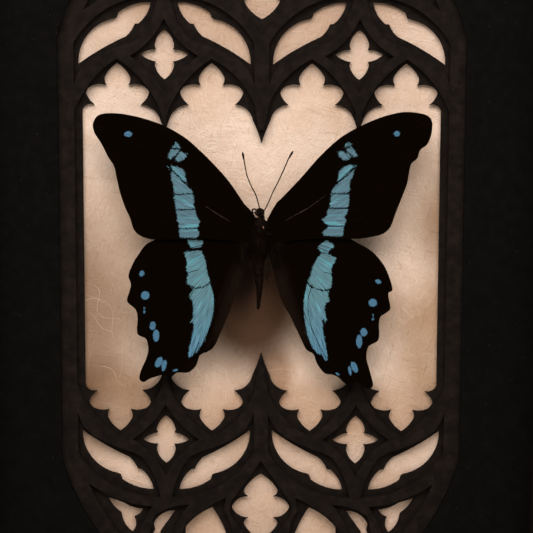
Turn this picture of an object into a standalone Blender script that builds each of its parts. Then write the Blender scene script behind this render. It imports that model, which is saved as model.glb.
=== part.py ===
"""Framed butterfly specimen: a blue-banded swallowtail set in a double-ended Gothic window.

The design is drawn flat, in millimetres: x to the right, v up from the middle of the window, and
a depth that runs backwards from the front of the rails. place() turns it into the standing part,
in metres, with its foot at z = 0, its front facing -Y and its middle on the z axis.

An outline is a list of (x, v) or (x, v, rise), where rise is the height of the arc that leads to
the next point, positive where it bulges to the left of the way along.
"""
import math

import bmesh
import bpy
from mathutils import Vector
from mathutils.geometry import delaunay_2d_cdt

# the case, in millimetres
CASE_WIDTH = 175.0
CASE_HEIGHT = 277.0
GAP = 0.3                    # clearance between touching pieces
RAIL_FACE = 14.0             # width of a rail seen from the front
LIP_DEPTH = 3.0              # thickness of the lip that holds the sheets in
REBATE = 3.0                 # how far the lip reaches over the sheets
RAIL_EDGE = 1.2              # round on the rail's front edges
SPACER_WIDE = 2.5
SPACER_DEEP = 11.4
PANEL_THICK = 1.6
RIB_THICK = 1.5
FOIL_THICK = 1.0
PAPER_THICK = 0.5
FOAM_THICK = 5.0
BACK_THICK = 3.0
REBATE_X = CASE_WIDTH / 2 - RAIL_FACE + REBATE
REBATE_V = CASE_HEIGHT / 2 - RAIL_FACE + REBATE
SHEET_X = REBATE_X - 0.5
SHEET_V = REBATE_V - 0.5
ARC_STEP = 0.16              # largest gap between a curve and its facets

# the stack of sheets, each depth worked out from the piece in front of it
SPACER_FRONT = LIP_DEPTH + GAP
PANEL_FRONT = SPACER_FRONT + SPACER_DEEP + GAP
RIB_FRONT = PANEL_FRONT + PANEL_THICK + GAP
FOIL_FRONT = RIB_FRONT + RIB_THICK + GAP
PAPER_FRONT = FOIL_FRONT + FOIL_THICK + GAP
FOAM_FRONT = PAPER_FRONT + PAPER_THICK + GAP
BACK_FRONT = FOAM_FRONT + FOAM_THICK + GAP
RAIL_BACK = BACK_FRONT + BACK_THICK
HARDWARE_FRONT = RAIL_BACK + GAP

# what is screwed and nailed on at the back
BUTTON_THICK = 1.2
BUTTON_REACH = 16.0          # from the screw to the button's inner end
BUTTON_R = 4.5
BUTTON_IN = 6.0              # from the case's side to the screw
BUTTON_V = 70.0
SCREW_R = 1.4
SCREW_HEAD_R = 3.2
SCREW_HEAD_HIGH = 1.3
SCREW_LENGTH = 8.0
HANGER_THICK = 0.8
HANGER_HALF = 23.0
HANGER_HIGH = 8.0
HANGER_BOW = 1.0             # how far the toothed middle stands off the rail
TOOTH_PITCH = 3.0
TOOTH_COUNT = 9
NAIL_X = 20.0
NAIL_R = 0.7
NAIL_HEAD_R = 1.7
NAIL_HEAD_HIGH = 0.7
NAIL_LENGTH = 9.0
DEPTH_ALL = HARDWARE_FRONT + BUTTON_THICK + GAP + SCREW_HEAD_HIGH

# the window: straight sides, and heads whose arcs are struck from across the middle
ARC_ACROSS = 8.0
ARC_LEVEL = 38.9
WINDOW_HALF = 53.85
WINDOW_ARC = 64.2
RIB_HALF = 49.65
RIB_ARC = 60.0
FOIL_HALF = 47.65
PAIR_X = 25.8                # middle of each pair of lancets
LOWER_STRETCH = 1.028        # the lower half is this much taller than the upper
LANCET_X = 12.5              # middle of each lancet, from the middle of its pair
LANCETS = (-PAIR_X - LANCET_X, -PAIR_X + LANCET_X)

# the specimen
WING_THICK = 0.4
FORE_DEPTH = 12.0
FORE_RISE = 0.045            # slope of the wings towards the front
HIND_DEPTH = 12.8
HIND_RISE = 0.03
BODY_DEPTH = 12.2
BODY_SIDES = 14
ANTENNA_DEPTH = 10.8
ANTENNA_SIDES = 8

# name, colour, roughness, metallic
BLACK_CARD = ("black_card", (0.012, 0.010, 0.009), 0.85, 0.0)
BLACK_WOOD = ("black_wood", (0.012, 0.011, 0.010), 0.45, 0.0)
PAPER = ("handmade_paper", (0.70, 0.57, 0.42), 0.95, 0.0)
FOAM = ("foam_board", (0.80, 0.79, 0.76), 0.80, 0.0)
HARDBOARD = ("hardboard", (0.19, 0.10, 0.05), 0.75, 0.0)
STEEL = ("zinc_steel", (0.60, 0.59, 0.56), 0.35, 1.0)
CORK = ("cork", (0.38, 0.22, 0.11), 0.95, 0.0)
WING = ("wing_scales", (0.010, 0.007, 0.006), 0.70, 0.0)
FUR = ("body_fur", (0.016, 0.011, 0.008), 0.90, 0.0)
HORN = ("antenna_horn", (0.020, 0.013, 0.010), 0.45, 0.0)


def place(x, v, depth):
    """Turn a point of the flat design into a point of the standing part, in metres."""
    return Vector((x, depth - DEPTH_ALL / 2, v + CASE_HEIGHT / 2)) / 1000


def clear_scene():
    for thing in list(bpy.data.objects):
        bpy.data.objects.remove(thing, do_unlink=True)


def material(spec):
    name, colour, roughness, metallic = spec
    found = bpy.data.materials.get(name)
    if found:
        return found
    made = bpy.data.materials.new(name)
    made.use_nodes = True
    shader = made.node_tree.nodes["Principled BSDF"]
    shader.inputs["Base Color"].default_value = (*colour, 1.0)
    shader.inputs["Roughness"].default_value = roughness
    shader.inputs["Metallic"].default_value = metallic
    made.diffuse_color = (*colour, 1.0)
    return made


def add_piece(name, bm, spec):
    """Turn a closed bmesh, already in its place in metres, into one named piece."""
    bmesh.ops.recalc_face_normals(bm, faces=bm.faces)
    mesh = bpy.data.meshes.new(name)
    bm.to_mesh(mesh)
    bm.free()
    mesh.materials.append(material(spec))
    piece = bpy.data.objects.new(name, mesh)
    bpy.context.scene.collection.objects.link(piece)
    return piece


# ---- outlines

def with_rises(path):
    return [(*point, 0.0)[:3] for point in path]


def facets(path):
    """Turn a closed outline into plain points, with each arc cut into equal chords."""
    path = with_rises(path)
    points = []
    for start, end in zip(path, path[1:] + path[:1]):
        points.append(start[:2])
        rise = start[2]
        count = math.ceil(math.sqrt(abs(rise) / ARC_STEP))
        if count < 2:
            continue
        along = Vector(end[:2]) - Vector(start[:2])
        half_chord = along.length / 2
        along.normalize()
        left = Vector((-along.y, along.x)) * math.copysign(1.0, rise)
        radius = (half_chord ** 2 + rise ** 2) / (2 * abs(rise))
        half_turn = math.asin(half_chord / radius)
        for k in range(1, count):
            turn = half_turn * (2 * k / count - 1)
            lift = radius * (math.cos(turn) - math.cos(half_turn))
            spot = Vector(start[:2]) + along * (half_chord + radius * math.sin(turn)) + left * lift
            points.append(spot[:])
    return points


def anticlockwise(loop):
    """Order plain points anticlockwise, seen from the front."""
    twice_area = sum(a[0] * b[1] - b[0] * a[1] for a, b in zip(loop, loop[1:] + loop[:1]))
    return loop if twice_area > 0 else loop[::-1]


def mirror_x(path):
    return [(-x, v, -rise) for x, v, rise in with_rises(path)]


def mirror_v(path):
    """Turn an upper opening over into the lower half."""
    return [(x, -v * LOWER_STRETCH, -rise) for x, v, rise in with_rises(path)]


def shifted(path, x):
    return [(point[0] + x, *point[1:]) for point in path]


def backwards(path):
    """Run an open path the other way; each rise moves to the arc's new start."""
    path = with_rises(path)
    rises = [-point[2] for point in path[-2::-1]] + [0.0]
    return [(x, v, rise) for (x, v, _), rise in zip(path[::-1], rises)]


def joined(*paths):
    """Chain open paths, each of which starts where the one before it ends."""
    chain = []
    for path in paths[:-1]:
        chain += path[:-1]
    return with_rises(chain + paths[-1])


def symmetric(half):
    """Close the right half of a shape, from its lowest point to its highest, with its mirror."""
    return joined(half, backwards(mirror_x(half)))[:-1]


def head_rise(start, end, radius):
    """Rise of an arc of the window's head, between two of its points."""
    half_chord = math.dist(start, end) / 2
    return radius - math.sqrt(radius ** 2 - half_chord ** 2)


def on_head(x, radius):
    """The point of the head's left arc at x."""
    return (x, ARC_LEVEL + math.sqrt(radius ** 2 - (ARC_ACROSS - x) ** 2))


def head_arc(x_from, x_to, radius):
    """The stretch of the head's left arc from one x to another, as an open path."""
    start = on_head(x_from, radius)
    end = on_head(x_to, radius)
    rise = math.copysign(head_rise(start, end, radius), x_to - x_from)
    return [(*start, rise), end]


def window_outline():
    left = head_arc(-WINDOW_HALF, 0.0, WINDOW_ARC)
    top = joined(left, backwards(mirror_x(left)))
    return top + backwards(mirror_v(top))


def both_ends_of(quarter):
    """Close the window's main opening from its upper left quarter."""
    top = joined(quarter, backwards(mirror_x(quarter)))
    return top + backwards(mirror_v(top))


def lay_out(pair_middle, pair_side, middle, *sides):
    """Repeat the head's openings over both pairs of lancets, both sides and both ends."""
    top = [symmetric(middle)]
    for x in (-PAIR_X, PAIR_X):
        for shape in (symmetric(pair_middle), pair_side, mirror_x(pair_side)):
            top.append(shifted(shape, x))
    for shape in sides:
        top += [shape, mirror_x(shape)]
    return top + [mirror_v(shape) for shape in top]


def rib_openings():
    """The upper tracery sheet: plain pointed openings between the main ribs."""
    outer, inner = LANCETS
    quarter = [
        (-RIB_HALF, 36.4, 1.45), (outer, 50.4, 1.45), (-PAIR_X - 0.9, 36.4), (-PAIR_X - 0.4, 32.5),
        (-PAIR_X + 0.4, 32.5), (-PAIR_X + 0.9, 36.4, 1.45), (inner, 50.4, 1.58),
        (-1.9, 38.2), (-0.65, 31.6), (0.0, 31.6)]
    diamond = [(0.0, 41.65, 0.8), (9.05, 51.1, 1.1), (0.0, 60.95)]
    edge = PAIR_X - RIB_HALF
    dagger = [
        (edge, 43.6), (edge, 54.5, 3.5), (-1.6, 66.9, 0.8), (-6.3, 56.0), (-8.8, 54.6, -0.3),
        (-18.1, 51.0, -1.15)]
    star = [
        (0.0, 56.9), (7.8, 67.7, -0.55), (7.8, 72.2), (0.0, 82.9)]
    spandrel = joined(
        [(-46.9, 63.1, 1.3), (-29.5, 69.4, 1.0), on_head(-34.2, RIB_ARC)],
        head_arc(-34.2, -46.9, RIB_ARC))[:-1]
    small = joined(
        [(-19.5, 68.85, 0.8), (-29.05, 71.9, 0.3), on_head(-31.5, RIB_ARC)],
        head_arc(-31.5, -24.0, RIB_ARC),
        [on_head(-24.0, RIB_ARC), (-24.2, 77.0, -0.6)])
    large = joined(
        [(-9.5, 66.9, 0.4), (-19.3, 73.05, 0.5), (-21.5, 77.5), on_head(-21.6, RIB_ARC)],
        head_arc(-21.6, -1.3, RIB_ARC),
        [on_head(-1.3, RIB_ARC), (-1.3, 86.0, 0.3), (-7.8, 76.8, 0.5), (-10.1, 70.5)])
    return [both_ends_of(quarter)] + lay_out(diamond, dagger, star, spandrel, small, large)


def foil_openings():
    """The lower tracery sheet: the same openings, cut closer and with cusps."""
    outer, inner = LANCETS
    lobes = [
        (0.0, 49.2, 0.35), (3.35, 45.6, 0.25), (2.9, 43.35, 0.3), (6.5, 43.3, 0.35),
        (8.4, 41.4, 0.36), (6.15, 38.25)]
    lancet = joined(backwards(mirror_x(lobes)), lobes)
    pendant = [(-LANCET_X + 6.15, 38.25, 0.95), (-1.3, 34.6, 0.1), (0.0, 30.3)]
    quarter = joined(
        [(-FOIL_HALF, 36.8, 0.75), (outer - 6.15, 38.25)],
        shifted(lancet, outer),
        shifted(joined(pendant, backwards(mirror_x(pendant))), -PAIR_X),
        shifted(lancet, inner),
        [(inner + 6.15, 38.25, 1.15), (-2.35, 34.1, 0.15), (0.0, 27.9)])
    foil = [
        (0.0, 44.95, -0.4), (2.45, 48.2, -0.25), (2.2, 49.6, -0.35), (6.4, 51.55, -0.35),
        (2.2, 52.8, -0.25), (2.4, 54.8, -0.4), (0.0, 58.0)]
    dagger = [
        (-22.8, 48.9, 0.4), (-10.2, 56.2, -0.2), (-8.1, 58.8), (-7.8, 59.5), (-6.8, 59.6, -0.6),
        (-3.5, 65.2, -0.75), (-12.1, 62.5), (-12.5, 61.2), (-13.2, 60.85, -2.9)]
    star = [
        (0.0, 60.8, -0.5), (4.6, 65.2, -0.4), (3.5, 67.0, -0.9), (7.9, 69.95, -0.9),
        (3.5, 72.9, -0.4), (4.6, 74.7, -0.5), (0.0, 79.1)]
    spandrel = [
        (-41.9, 67.3), (-37.6, 68.7, 0.4), (-32.2, 70.5, -0.4), (-34.6, 72.6, -0.7),
        (-35.2, 76.9, -0.7), (-38.2, 71.6, -0.4)]
    small = [
        (-23.3, 70.9, 1.15), (-29.4, 74.6), (-29.0, 76.2, 0.5), (-29.9, 82.0, 0.6),
        (-25.6, 87.2, 0.4), (-27.6, 76.8)]
    large = [
        (-13.2, 69.95, 0.6), (-20.6, 75.4), (-20.6, 82.5), (-18.6, 84.5, 0.8), (-17.5, 90.6, 0.5),
        (-3.2, 95.3), (-3.0, 88.5), (-6.5, 84.5, 0.6), (-9.3, 77.5, 0.3)]
    return [both_ends_of(quarter)] + lay_out(foil, dagger, star, spandrel, small, large)


def smooth(points, steps):
    """Run a closed smooth curve through points, with a few steps between each two."""
    count = len(points)
    curve = []
    for i in range(count):
        a, b, c, d = (Vector(points[(i + k) % count]) for k in (-1, 0, 1, 2))
        for k in range(steps):
            t = k / steps
            curve.append((b * 2 + (c - a) * t + (a * 2 - b * 5 + c * 4 - d) * t ** 2
                          + (b * 3 - a - c * 3 + d) * t ** 3) / 2)
    return curve


# ---- solids

def flat_depth(x, depth):
    return depth


def plate(name, outline, holes, front, thick, spec, shape=flat_depth):
    """Cut a sheet to an outline with holes; shape(x, depth) may bend it front or back."""
    loops = [anticlockwise(loop) for loop in [outline] + holes]
    corners = [Vector(point) for loop in loops for point in loop]
    ids = iter(range(len(corners)))
    faces = [[next(ids) for _ in loop] for loop in loops]
    spots, _, cells, _, _, sources = delaunay_2d_cdt(corners, [], faces, 1, 1e-6, True)
    bm = bmesh.new()
    near = [bm.verts.new(place(x, v, shape(x, front))) for x, v in spots]
    far = [bm.verts.new(place(x, v, shape(x, front + thick))) for x, v in spots]
    kept = [cell for cell, source in zip(cells, sources) if source == [0]]
    for cell in kept:
        bm.faces.new([near[i] for i in cell])
        bm.faces.new([far[i] for i in reversed(cell)])
    bm.verts.index_update()
    for edge in [edge for edge in bm.edges if edge.is_boundary]:
        a, b = (vert.index for vert in edge.verts)
        if max(a, b) < len(spots):
            bm.faces.new([near[a], near[b], far[b], far[a]])
    loose = [vert for vert in bm.verts if not vert.link_faces]
    bmesh.ops.delete(bm, geom=loose, context="VERTS")
    return add_piece(name, bm, spec)


def rectangle(half_x, half_v):
    return [(-half_x, -half_v), (half_x, -half_v), (half_x, half_v), (-half_x, half_v)]


def tube_of_rings(bm, rings):
    """Skin a row of closed rings and cap both ends."""
    rows = [[bm.verts.new(point) for point in ring] for ring in rings]
    for row, following in zip(rows, rows[1:]):
        for i in range(len(row)):
            k = (i + 1) % len(row)
            bm.faces.new([row[i], row[k], following[k], following[i]])
    bm.faces.new(rows[0])
    bm.faces.new(rows[-1])


def turned_piece(name, profile, x, v, sides, spec):
    """Turn a profile of (radius, depth) about a line from front to back."""
    rings = []
    for radius, depth in profile:
        angles = [2 * math.pi * k / sides for k in range(sides)]
        rings.append([place(x + radius * math.cos(a), v + radius * math.sin(a), depth)
                      for a in angles])
    bm = bmesh.new()
    tube_of_rings(bm, rings)
    return add_piece(name, bm, spec)


def block(name, x_range, v_range, depth_range, spec):
    bm = bmesh.new()
    rings = []
    for depth in depth_range:
        rings.append([place(x_range[i], v_range[k], depth)
                      for i, k in ((0, 0), (1, 0), (1, 1), (0, 1))])
    tube_of_rings(bm, rings)
    return add_piece(name, bm, spec)


def drill(piece, x, v, radius, length):
    """Drill a hole into a rail from its back."""
    profile = [(radius, RAIL_BACK - length), (radius, RAIL_BACK + 1.0)]
    cutter = turned_piece(piece.name + "_drill", profile, x, v, 12, STEEL)
    cutter.hide_render = True
    cutter.display_type = "WIRE"
    cut = piece.modifiers.new(cutter.name, "BOOLEAN")
    cut.operation = "DIFFERENCE"
    cut.solver = "EXACT"
    cut.object = cutter


def rail_profile():
    """The rail's section, as (distance in from the case's side, depth)."""
    edge = RAIL_EDGE
    corner = edge * (1 - math.sqrt(0.5))
    inner = RAIL_FACE - REBATE
    return [
        (0.0, RAIL_BACK), (0.0, edge), (corner, corner), (edge, 0.0), (RAIL_FACE - edge, 0.0),
        (RAIL_FACE - corner, corner), (RAIL_FACE, edge), (RAIL_FACE, LIP_DEPTH), (inner, LIP_DEPTH),
        (inner, RAIL_BACK)]


def rail(name, half_run, half_across, quarter_turns):
    """Mitre one rail along the top of the case, then turn it to its own side."""
    rings = []
    for end in (-1, 1):
        ring = []
        for inwards, depth in rail_profile():
            x = end * (half_run - inwards - GAP / math.sqrt(2))
            v = half_across - inwards
            for _ in range(quarter_turns):
                x, v = -v, x
            ring.append(place(x, v, depth))
        rings.append(ring)
    bm = bmesh.new()
    tube_of_rings(bm, rings)
    return add_piece(name, bm, BLACK_WOOD)


def build_case():
    half_x = CASE_WIDTH / 2
    half_v = CASE_HEIGHT / 2
    top = rail("rail_top", half_x, half_v, 0)
    left = rail("rail_left", half_v, half_x, 1)
    rail("rail_bottom", half_x, half_v, 2)
    right = rail("rail_right", half_v, half_x, 3)
    build_spacers()
    sheet = rectangle(SHEET_X, SHEET_V)
    plate("window_panel", sheet, [facets(window_outline())], PANEL_FRONT, PANEL_THICK, BLACK_CARD)
    ribs = [facets(shape) for shape in rib_openings()]
    plate("tracery_ribs", sheet, ribs, RIB_FRONT, RIB_THICK, BLACK_CARD)
    foils = [facets(shape) for shape in foil_openings()]
    plate("tracery_foils", sheet, foils, FOIL_FRONT, FOIL_THICK, BLACK_CARD)
    plate("paper_sheet", sheet, [], PAPER_FRONT, PAPER_THICK, PAPER)
    plate("foam_board", sheet, [], FOAM_FRONT, FOAM_THICK, FOAM)
    plate("back_board", sheet, [], BACK_FRONT, BACK_THICK, HARDBOARD)
    build_buttons(left, right)
    build_hanger(top)


def build_spacers():
    """Four strips behind the lip that keep the sheets clear of the specimen."""
    outer_x = SHEET_X + 0.2
    outer_v = SHEET_V + 0.2
    depths = (SPACER_FRONT, SPACER_FRONT + SPACER_DEEP)
    tall = (-outer_v, outer_v)
    inner_x = outer_x - SPACER_WIDE
    block("spacer_left", (-outer_x, -inner_x), tall, depths, BLACK_CARD)
    block("spacer_right", (inner_x, outer_x), tall, depths, BLACK_CARD)
    wide = (GAP - inner_x, inner_x - GAP)
    block("spacer_top", wide, (outer_v - SPACER_WIDE, outer_v), depths, BLACK_CARD)
    block("spacer_bottom", wide, (-outer_v, SPACER_WIDE - outer_v), depths, BLACK_CARD)


def circle(x, v, radius, sides):
    angles = [2 * math.pi * k / sides for k in range(sides)]
    return [(x + radius * math.cos(a), v + radius * math.sin(a)) for a in angles]


def build_buttons(left, right):
    """Turn buttons screwed to the side rails, lying over the back board."""
    head = HARDWARE_FRONT + BUTTON_THICK + GAP
    profile = [
        (0.5, RAIL_BACK - SCREW_LENGTH), (SCREW_R, RAIL_BACK - SCREW_LENGTH + 1.5),
        (SCREW_R, head), (SCREW_HEAD_R, head), (SCREW_HEAD_R * 0.85, head + 0.8),
        (SCREW_HEAD_R * 0.45, head + SCREW_HEAD_HIGH)]
    for side, host, sign in (("left", left, -1), ("right", right, 1)):
        x = sign * (CASE_WIDTH / 2 - BUTTON_IN)
        for level, v in (("upper", BUTTON_V), ("lower", -BUTTON_V)):
            tip = x - sign * (BUTTON_REACH - BUTTON_R)
            half_round = sign * BUTTON_R
            bar = facets([
                (tip, v - BUTTON_R), (x, v - BUTTON_R, -half_round), (x, v + BUTTON_R),
                (tip, v + BUTTON_R, -half_round)])
            hole = circle(x, v, SCREW_R + GAP, 12)
            plate(f"button_{side}_{level}", bar, [hole], HARDWARE_FRONT, BUTTON_THICK, STEEL)
            turned_piece(f"screw_{side}_{level}", profile, x, v, 12, STEEL)
            drill(host, x, v, SCREW_R + GAP, SCREW_LENGTH + GAP)


def build_hanger(top):
    """Sawtooth hanger nailed to the middle of the top rail."""
    v = CASE_HEIGHT / 2 - (RAIL_FACE - REBATE) / 2 - 0.5
    low = v - HANGER_HIGH / 2
    high = v + HANGER_HIGH / 2
    saw_half = TOOTH_PITCH * TOOTH_COUNT / 2
    bend = saw_half + 2.0
    outline = [(-HANGER_HALF, high), (-HANGER_HALF, low), (-bend, low)]
    for k in range(TOOTH_COUNT):
        x = -saw_half + k * TOOTH_PITCH
        outline += [(x, low), (x + TOOTH_PITCH / 2, low + 1.5)]
    outline += [(saw_half, low), (bend, low), (HANGER_HALF, low), (HANGER_HALF, high)]
    outline += [(bend, high), (saw_half, high), (-saw_half, high), (-bend, high)]

    def bowed(x, depth):
        return depth + HANGER_BOW * min(1.0, max(0.0, (bend - abs(x)) / (bend - saw_half)))

    holes = [circle(x, v, NAIL_R + GAP, 8) for x in (-NAIL_X, NAIL_X)]
    plate("sawtooth_hanger", outline, holes, HARDWARE_FRONT, HANGER_THICK, STEEL, bowed)
    head = HARDWARE_FRONT + HANGER_THICK + GAP
    profile = [
        (0.2, RAIL_BACK - NAIL_LENGTH), (NAIL_R, RAIL_BACK - NAIL_LENGTH + 1.5), (NAIL_R, head),
        (NAIL_HEAD_R, head), (NAIL_HEAD_R * 0.8, head + NAIL_HEAD_HIGH)]
    for side, x in (("left", -NAIL_X), ("right", NAIL_X)):
        turned_piece(f"nail_{side}", profile, x, v, 10, STEEL)
        drill(top, x, v, NAIL_R + GAP, NAIL_LENGTH + GAP)


# ---- the specimen: outlines run from the shoulder, out along the leading edge and back

FOREWING_LEFT = [
    (-3.2, 10.1), (-4.8, 13.0), (-8.3, 18.2), (-12.2, 22.7), (-16.2, 26.7), (-20.1, 30.1),
    (-25.3, 33.1), (-30.5, 35.0), (-35.7, 36.2), (-39.7, 36.5), (-42.3, 36.1), (-43.6, 34.9),
    (-44.1, 33.3), (-43.6, 31.2), (-41.8, 28.3), (-40.3, 25.2), (-38.7, 22.6), (-38.0, 19.4),
    (-37.2, 15.8), (-35.9, 11.8), (-34.6, 8.9), (-33.6, 5.8), (-32.0, 4.2), (-29.9, 3.4),
    (-27.0, 3.1), (-15.0, 3.3), (-3.5, 2.6), (-3.4, 6.5)]
FOREWING_RIGHT = [
    (3.2, 10.6), (5.4, 14.0), (10.2, 19.3), (15.4, 25.3), (20.6, 30.1), (25.8, 33.2),
    (31.0, 35.5), (36.2, 36.9), (40.1, 36.9), (43.3, 36.1), (44.6, 34.3), (44.4, 31.2),
    (43.4, 28.6), (41.6, 27.1), (40.8, 24.9), (39.3, 23.4), (38.6, 20.2), (38.3, 18.4),
    (37.3, 15.5), (36.3, 12.9), (35.3, 10.2), (34.3, 7.3), (33.0, 5.5), (30.9, 4.4),
    (26.7, 3.6), (23.5, 3.4), (14.0, 3.4), (3.5, 2.6), (3.5, 6.5)]
HINDWING_LEFT = [
    (-3.3, 5.0), (-14.0, 6.2), (-23.5, 5.2), (-28.2, 2.9), (-30.6, 1.6), (-32.4, -0.8),
    (-34.0, -3.4), (-35.2, -6.6), (-34.6, -9.0), (-35.0, -10.9), (-35.6, -13.6), (-33.5, -15.7),
    (-32.9, -17.9), (-33.1, -21.1), (-32.7, -22.7), (-30.7, -23.8), (-30.1, -26.5),
    (-30.7, -29.2), (-32.1, -32.4), (-32.5, -34.6), (-31.4, -35.5), (-29.7, -34.6),
    (-27.6, -33.9), (-25.7, -33.5), (-24.3, -34.4), (-22.5, -33.0), (-19.5, -32.9),
    (-17.4, -31.1), (-16.4, -28.3), (-13.9, -27.1), (-12.3, -25.5), (-10.4, -21.2),
    (-8.3, -16.1), (-5.6, -8.4), (-3.8, -4.1), (-3.4, -1.0), (-3.5, 2.0)]
HINDWING_RIGHT = [
    (3.3, 5.0), (14.0, 6.2), (22.2, 3.8), (25.7, 2.1), (28.9, 0.3), (31.6, -2.4), (33.5, -5.6),
    (34.9, -10.1), (33.8, -11.4), (34.4, -15.2), (33.3, -16.5), (31.8, -17.6), (31.4, -19.7),
    (31.3, -23.8), (28.7, -25.7), (28.2, -28.7), (29.0, -31.9), (30.0, -35.7), (29.6, -37.0),
    (28.0, -36.8), (26.1, -35.4), (24.2, -35.2), (22.9, -36.0), (20.7, -34.1), (19.1, -33.4),
    (17.0, -33.0), (15.1, -30.6), (14.0, -27.9), (12.1, -26.6), (10.5, -23.4), (7.8, -17.7),
    (5.6, -13.7), (4.0, -8.6), (3.0, -4.1), (3.3, -1.0), (3.5, 2.0)]

# the body from the brow to the tip of the abdomen: v, x, half width, half depth, set back
BODY_SECTIONS = [
    (11.9, -0.1, 0.5, 0.5, 0.2), (11.4, -0.1, 1.3, 1.2, 0.2), (10.3, -0.1, 1.8, 1.6, 0.2),
    (9.2, 0.0, 1.7, 1.5, 0.2), (8.5, 0.1, 1.6, 1.6, 0.2), (7.2, 0.1, 2.4, 2.3, 0.0),
    (5.0, 0.1, 2.8, 2.6, 0.0), (2.5, 0.1, 2.8, 2.6, 0.0), (0.5, 0.0, 2.6, 2.4, 0.1),
    (-1.2, 0.0, 2.1, 2.1, 0.2), (-3.5, 0.0, 1.9, 1.9, 0.3), (-6.5, 0.0, 1.5, 1.6, 0.4),
    (-9.5, -0.1, 1.1, 1.2, 0.6), (-12.5, -0.3, 0.8, 0.9, 0.8), (-14.2, -0.4, 0.5, 0.5, 0.9),
    (-14.7, -0.4, 0.2, 0.2, 0.9)]
# each antenna from its root to the tip of its club: x, v
ANTENNA_LEFT = [(-0.7, 12.4), (-1.7, 15.0), (-3.4, 20.5), (-4.5, 24.2), (-4.9, 25.8)]
ANTENNA_RIGHT = [(0.9, 12.4), (2.7, 15.6), (5.2, 20.8), (7.0, 24.9), (7.8, 26.2)]
ANTENNA_RADII = [0.22, 0.2, 0.2, 0.4, 0.25]
RISER_HALF = 4.0
RISER_SPAN = (-4.0, 8.0)
RISER_FRONT = 15.1


def wing(name, outline, depth, rise):
    def raised(x, at_depth):
        return at_depth - rise * abs(x)

    curve = [tuple(point) for point in smooth(outline, 2)]
    plate(name, curve, [], depth - WING_THICK / 2, WING_THICK, WING, raised)


def build_body():
    rings = []
    for v, x, half_width, half_depth, back in BODY_SECTIONS:
        ring = []
        for k in range(BODY_SIDES):
            angle = 2 * math.pi * k / BODY_SIDES
            depth = BODY_DEPTH + back + half_depth * math.sin(angle)
            ring.append(place(x + half_width * math.cos(angle), v, depth))
        rings.append(ring)
    bm = bmesh.new()
    tube_of_rings(bm, rings)
    add_piece("body", bm, FUR)


def build_antenna(name, route):
    rings = []
    for i, (x, v) in enumerate(route):
        before = Vector(route[max(i - 1, 0)])
        after = Vector(route[min(i + 1, len(route) - 1)])
        along = (after - before).normalized()
        ring = []
        for k in range(ANTENNA_SIDES):
            angle = 2 * math.pi * k / ANTENNA_SIDES
            across = ANTENNA_RADII[i] * math.cos(angle)
            depth = ANTENNA_DEPTH + ANTENNA_RADII[i] * math.sin(angle)
            ring.append(place(x + along.y * across, v - along.x * across, depth))
        rings.append(ring)
    bm = bmesh.new()
    tube_of_rings(bm, rings)
    add_piece(name, bm, HORN)


def build_specimen():
    wing("forewing_left", FOREWING_LEFT, FORE_DEPTH, FORE_RISE)
    wing("forewing_right", FOREWING_RIGHT, FORE_DEPTH, FORE_RISE)
    wing("hindwing_left", HINDWING_LEFT, HIND_DEPTH, HIND_RISE)
    wing("hindwing_right", HINDWING_RIGHT, HIND_DEPTH, HIND_RISE)
    build_body()
    build_antenna("antenna_left", ANTENNA_LEFT)
    build_antenna("antenna_right", ANTENNA_RIGHT)
    block("riser_block", (-RISER_HALF, RISER_HALF), RISER_SPAN, (RISER_FRONT, PAPER_FRONT - GAP),
          CORK)


clear_scene()
build_case()
build_specimen()
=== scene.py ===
import math

import bpy
import numpy as np
from mathutils import Matrix, Vector
from mathutils.geometry import delaunay_2d_cdt


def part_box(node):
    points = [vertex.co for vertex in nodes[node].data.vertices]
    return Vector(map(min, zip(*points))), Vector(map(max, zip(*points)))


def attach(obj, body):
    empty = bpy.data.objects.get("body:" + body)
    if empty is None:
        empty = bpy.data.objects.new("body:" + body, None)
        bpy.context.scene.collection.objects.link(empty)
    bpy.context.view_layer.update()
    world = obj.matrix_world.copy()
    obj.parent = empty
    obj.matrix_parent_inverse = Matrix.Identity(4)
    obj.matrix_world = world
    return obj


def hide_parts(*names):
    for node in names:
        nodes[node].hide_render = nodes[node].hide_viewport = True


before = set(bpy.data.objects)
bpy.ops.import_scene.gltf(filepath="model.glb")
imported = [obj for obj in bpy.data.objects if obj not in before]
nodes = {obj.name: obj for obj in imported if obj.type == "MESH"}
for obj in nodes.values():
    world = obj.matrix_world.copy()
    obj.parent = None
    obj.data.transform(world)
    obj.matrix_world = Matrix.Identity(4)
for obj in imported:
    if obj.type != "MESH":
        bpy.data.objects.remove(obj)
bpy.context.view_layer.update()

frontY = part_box("rail_left")[0].y * 1000  # front of the rails, where depths are counted from, mm
middleZ = sum(corner.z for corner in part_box("window_panel")) * 500  # middle of the window, mm
print("frame loaded:", len(nodes), "pieces")


def standing(x, v, depth):
    # x stays, v climbs from the window's middle, depth runs back from the rails' front; mm to m
    spots = np.broadcast_arrays(*(np.asarray(value, float) for value in (x, depth, v)))
    return (np.stack(spots, axis=-1) + (0.0, frontY, middleZ)) / 1000


def depthsOf(node):
    # a node's nearest and furthest depth
    return [corner.y * 1000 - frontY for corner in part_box(node)]


def gridFaces(rows, columns, around=False, flip=False):
    # quads between neighbouring rows and columns; around also joins the last column to the first
    row, column = np.meshgrid(np.arange(rows - 1), np.arange(columns - (not around)),
                              indexing="ij")
    following = (column + 1) % columns
    quads = np.stack([row * columns + column, row * columns + following,
                      (row + 1) * columns + following, (row + 1) * columns + column], -1)
    return quads.reshape(-1, 4)[:, ::-1 if flip else 1]


def fanFaces(centre, start, count, flip=False):
    # triangles from one point to a ring of points that starts at a number
    ring = np.arange(count)
    fan = np.stack([np.full(count, centre), start + ring, start + (ring + 1) % count], -1)
    return fan[:, ::-1] if flip else fan


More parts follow.
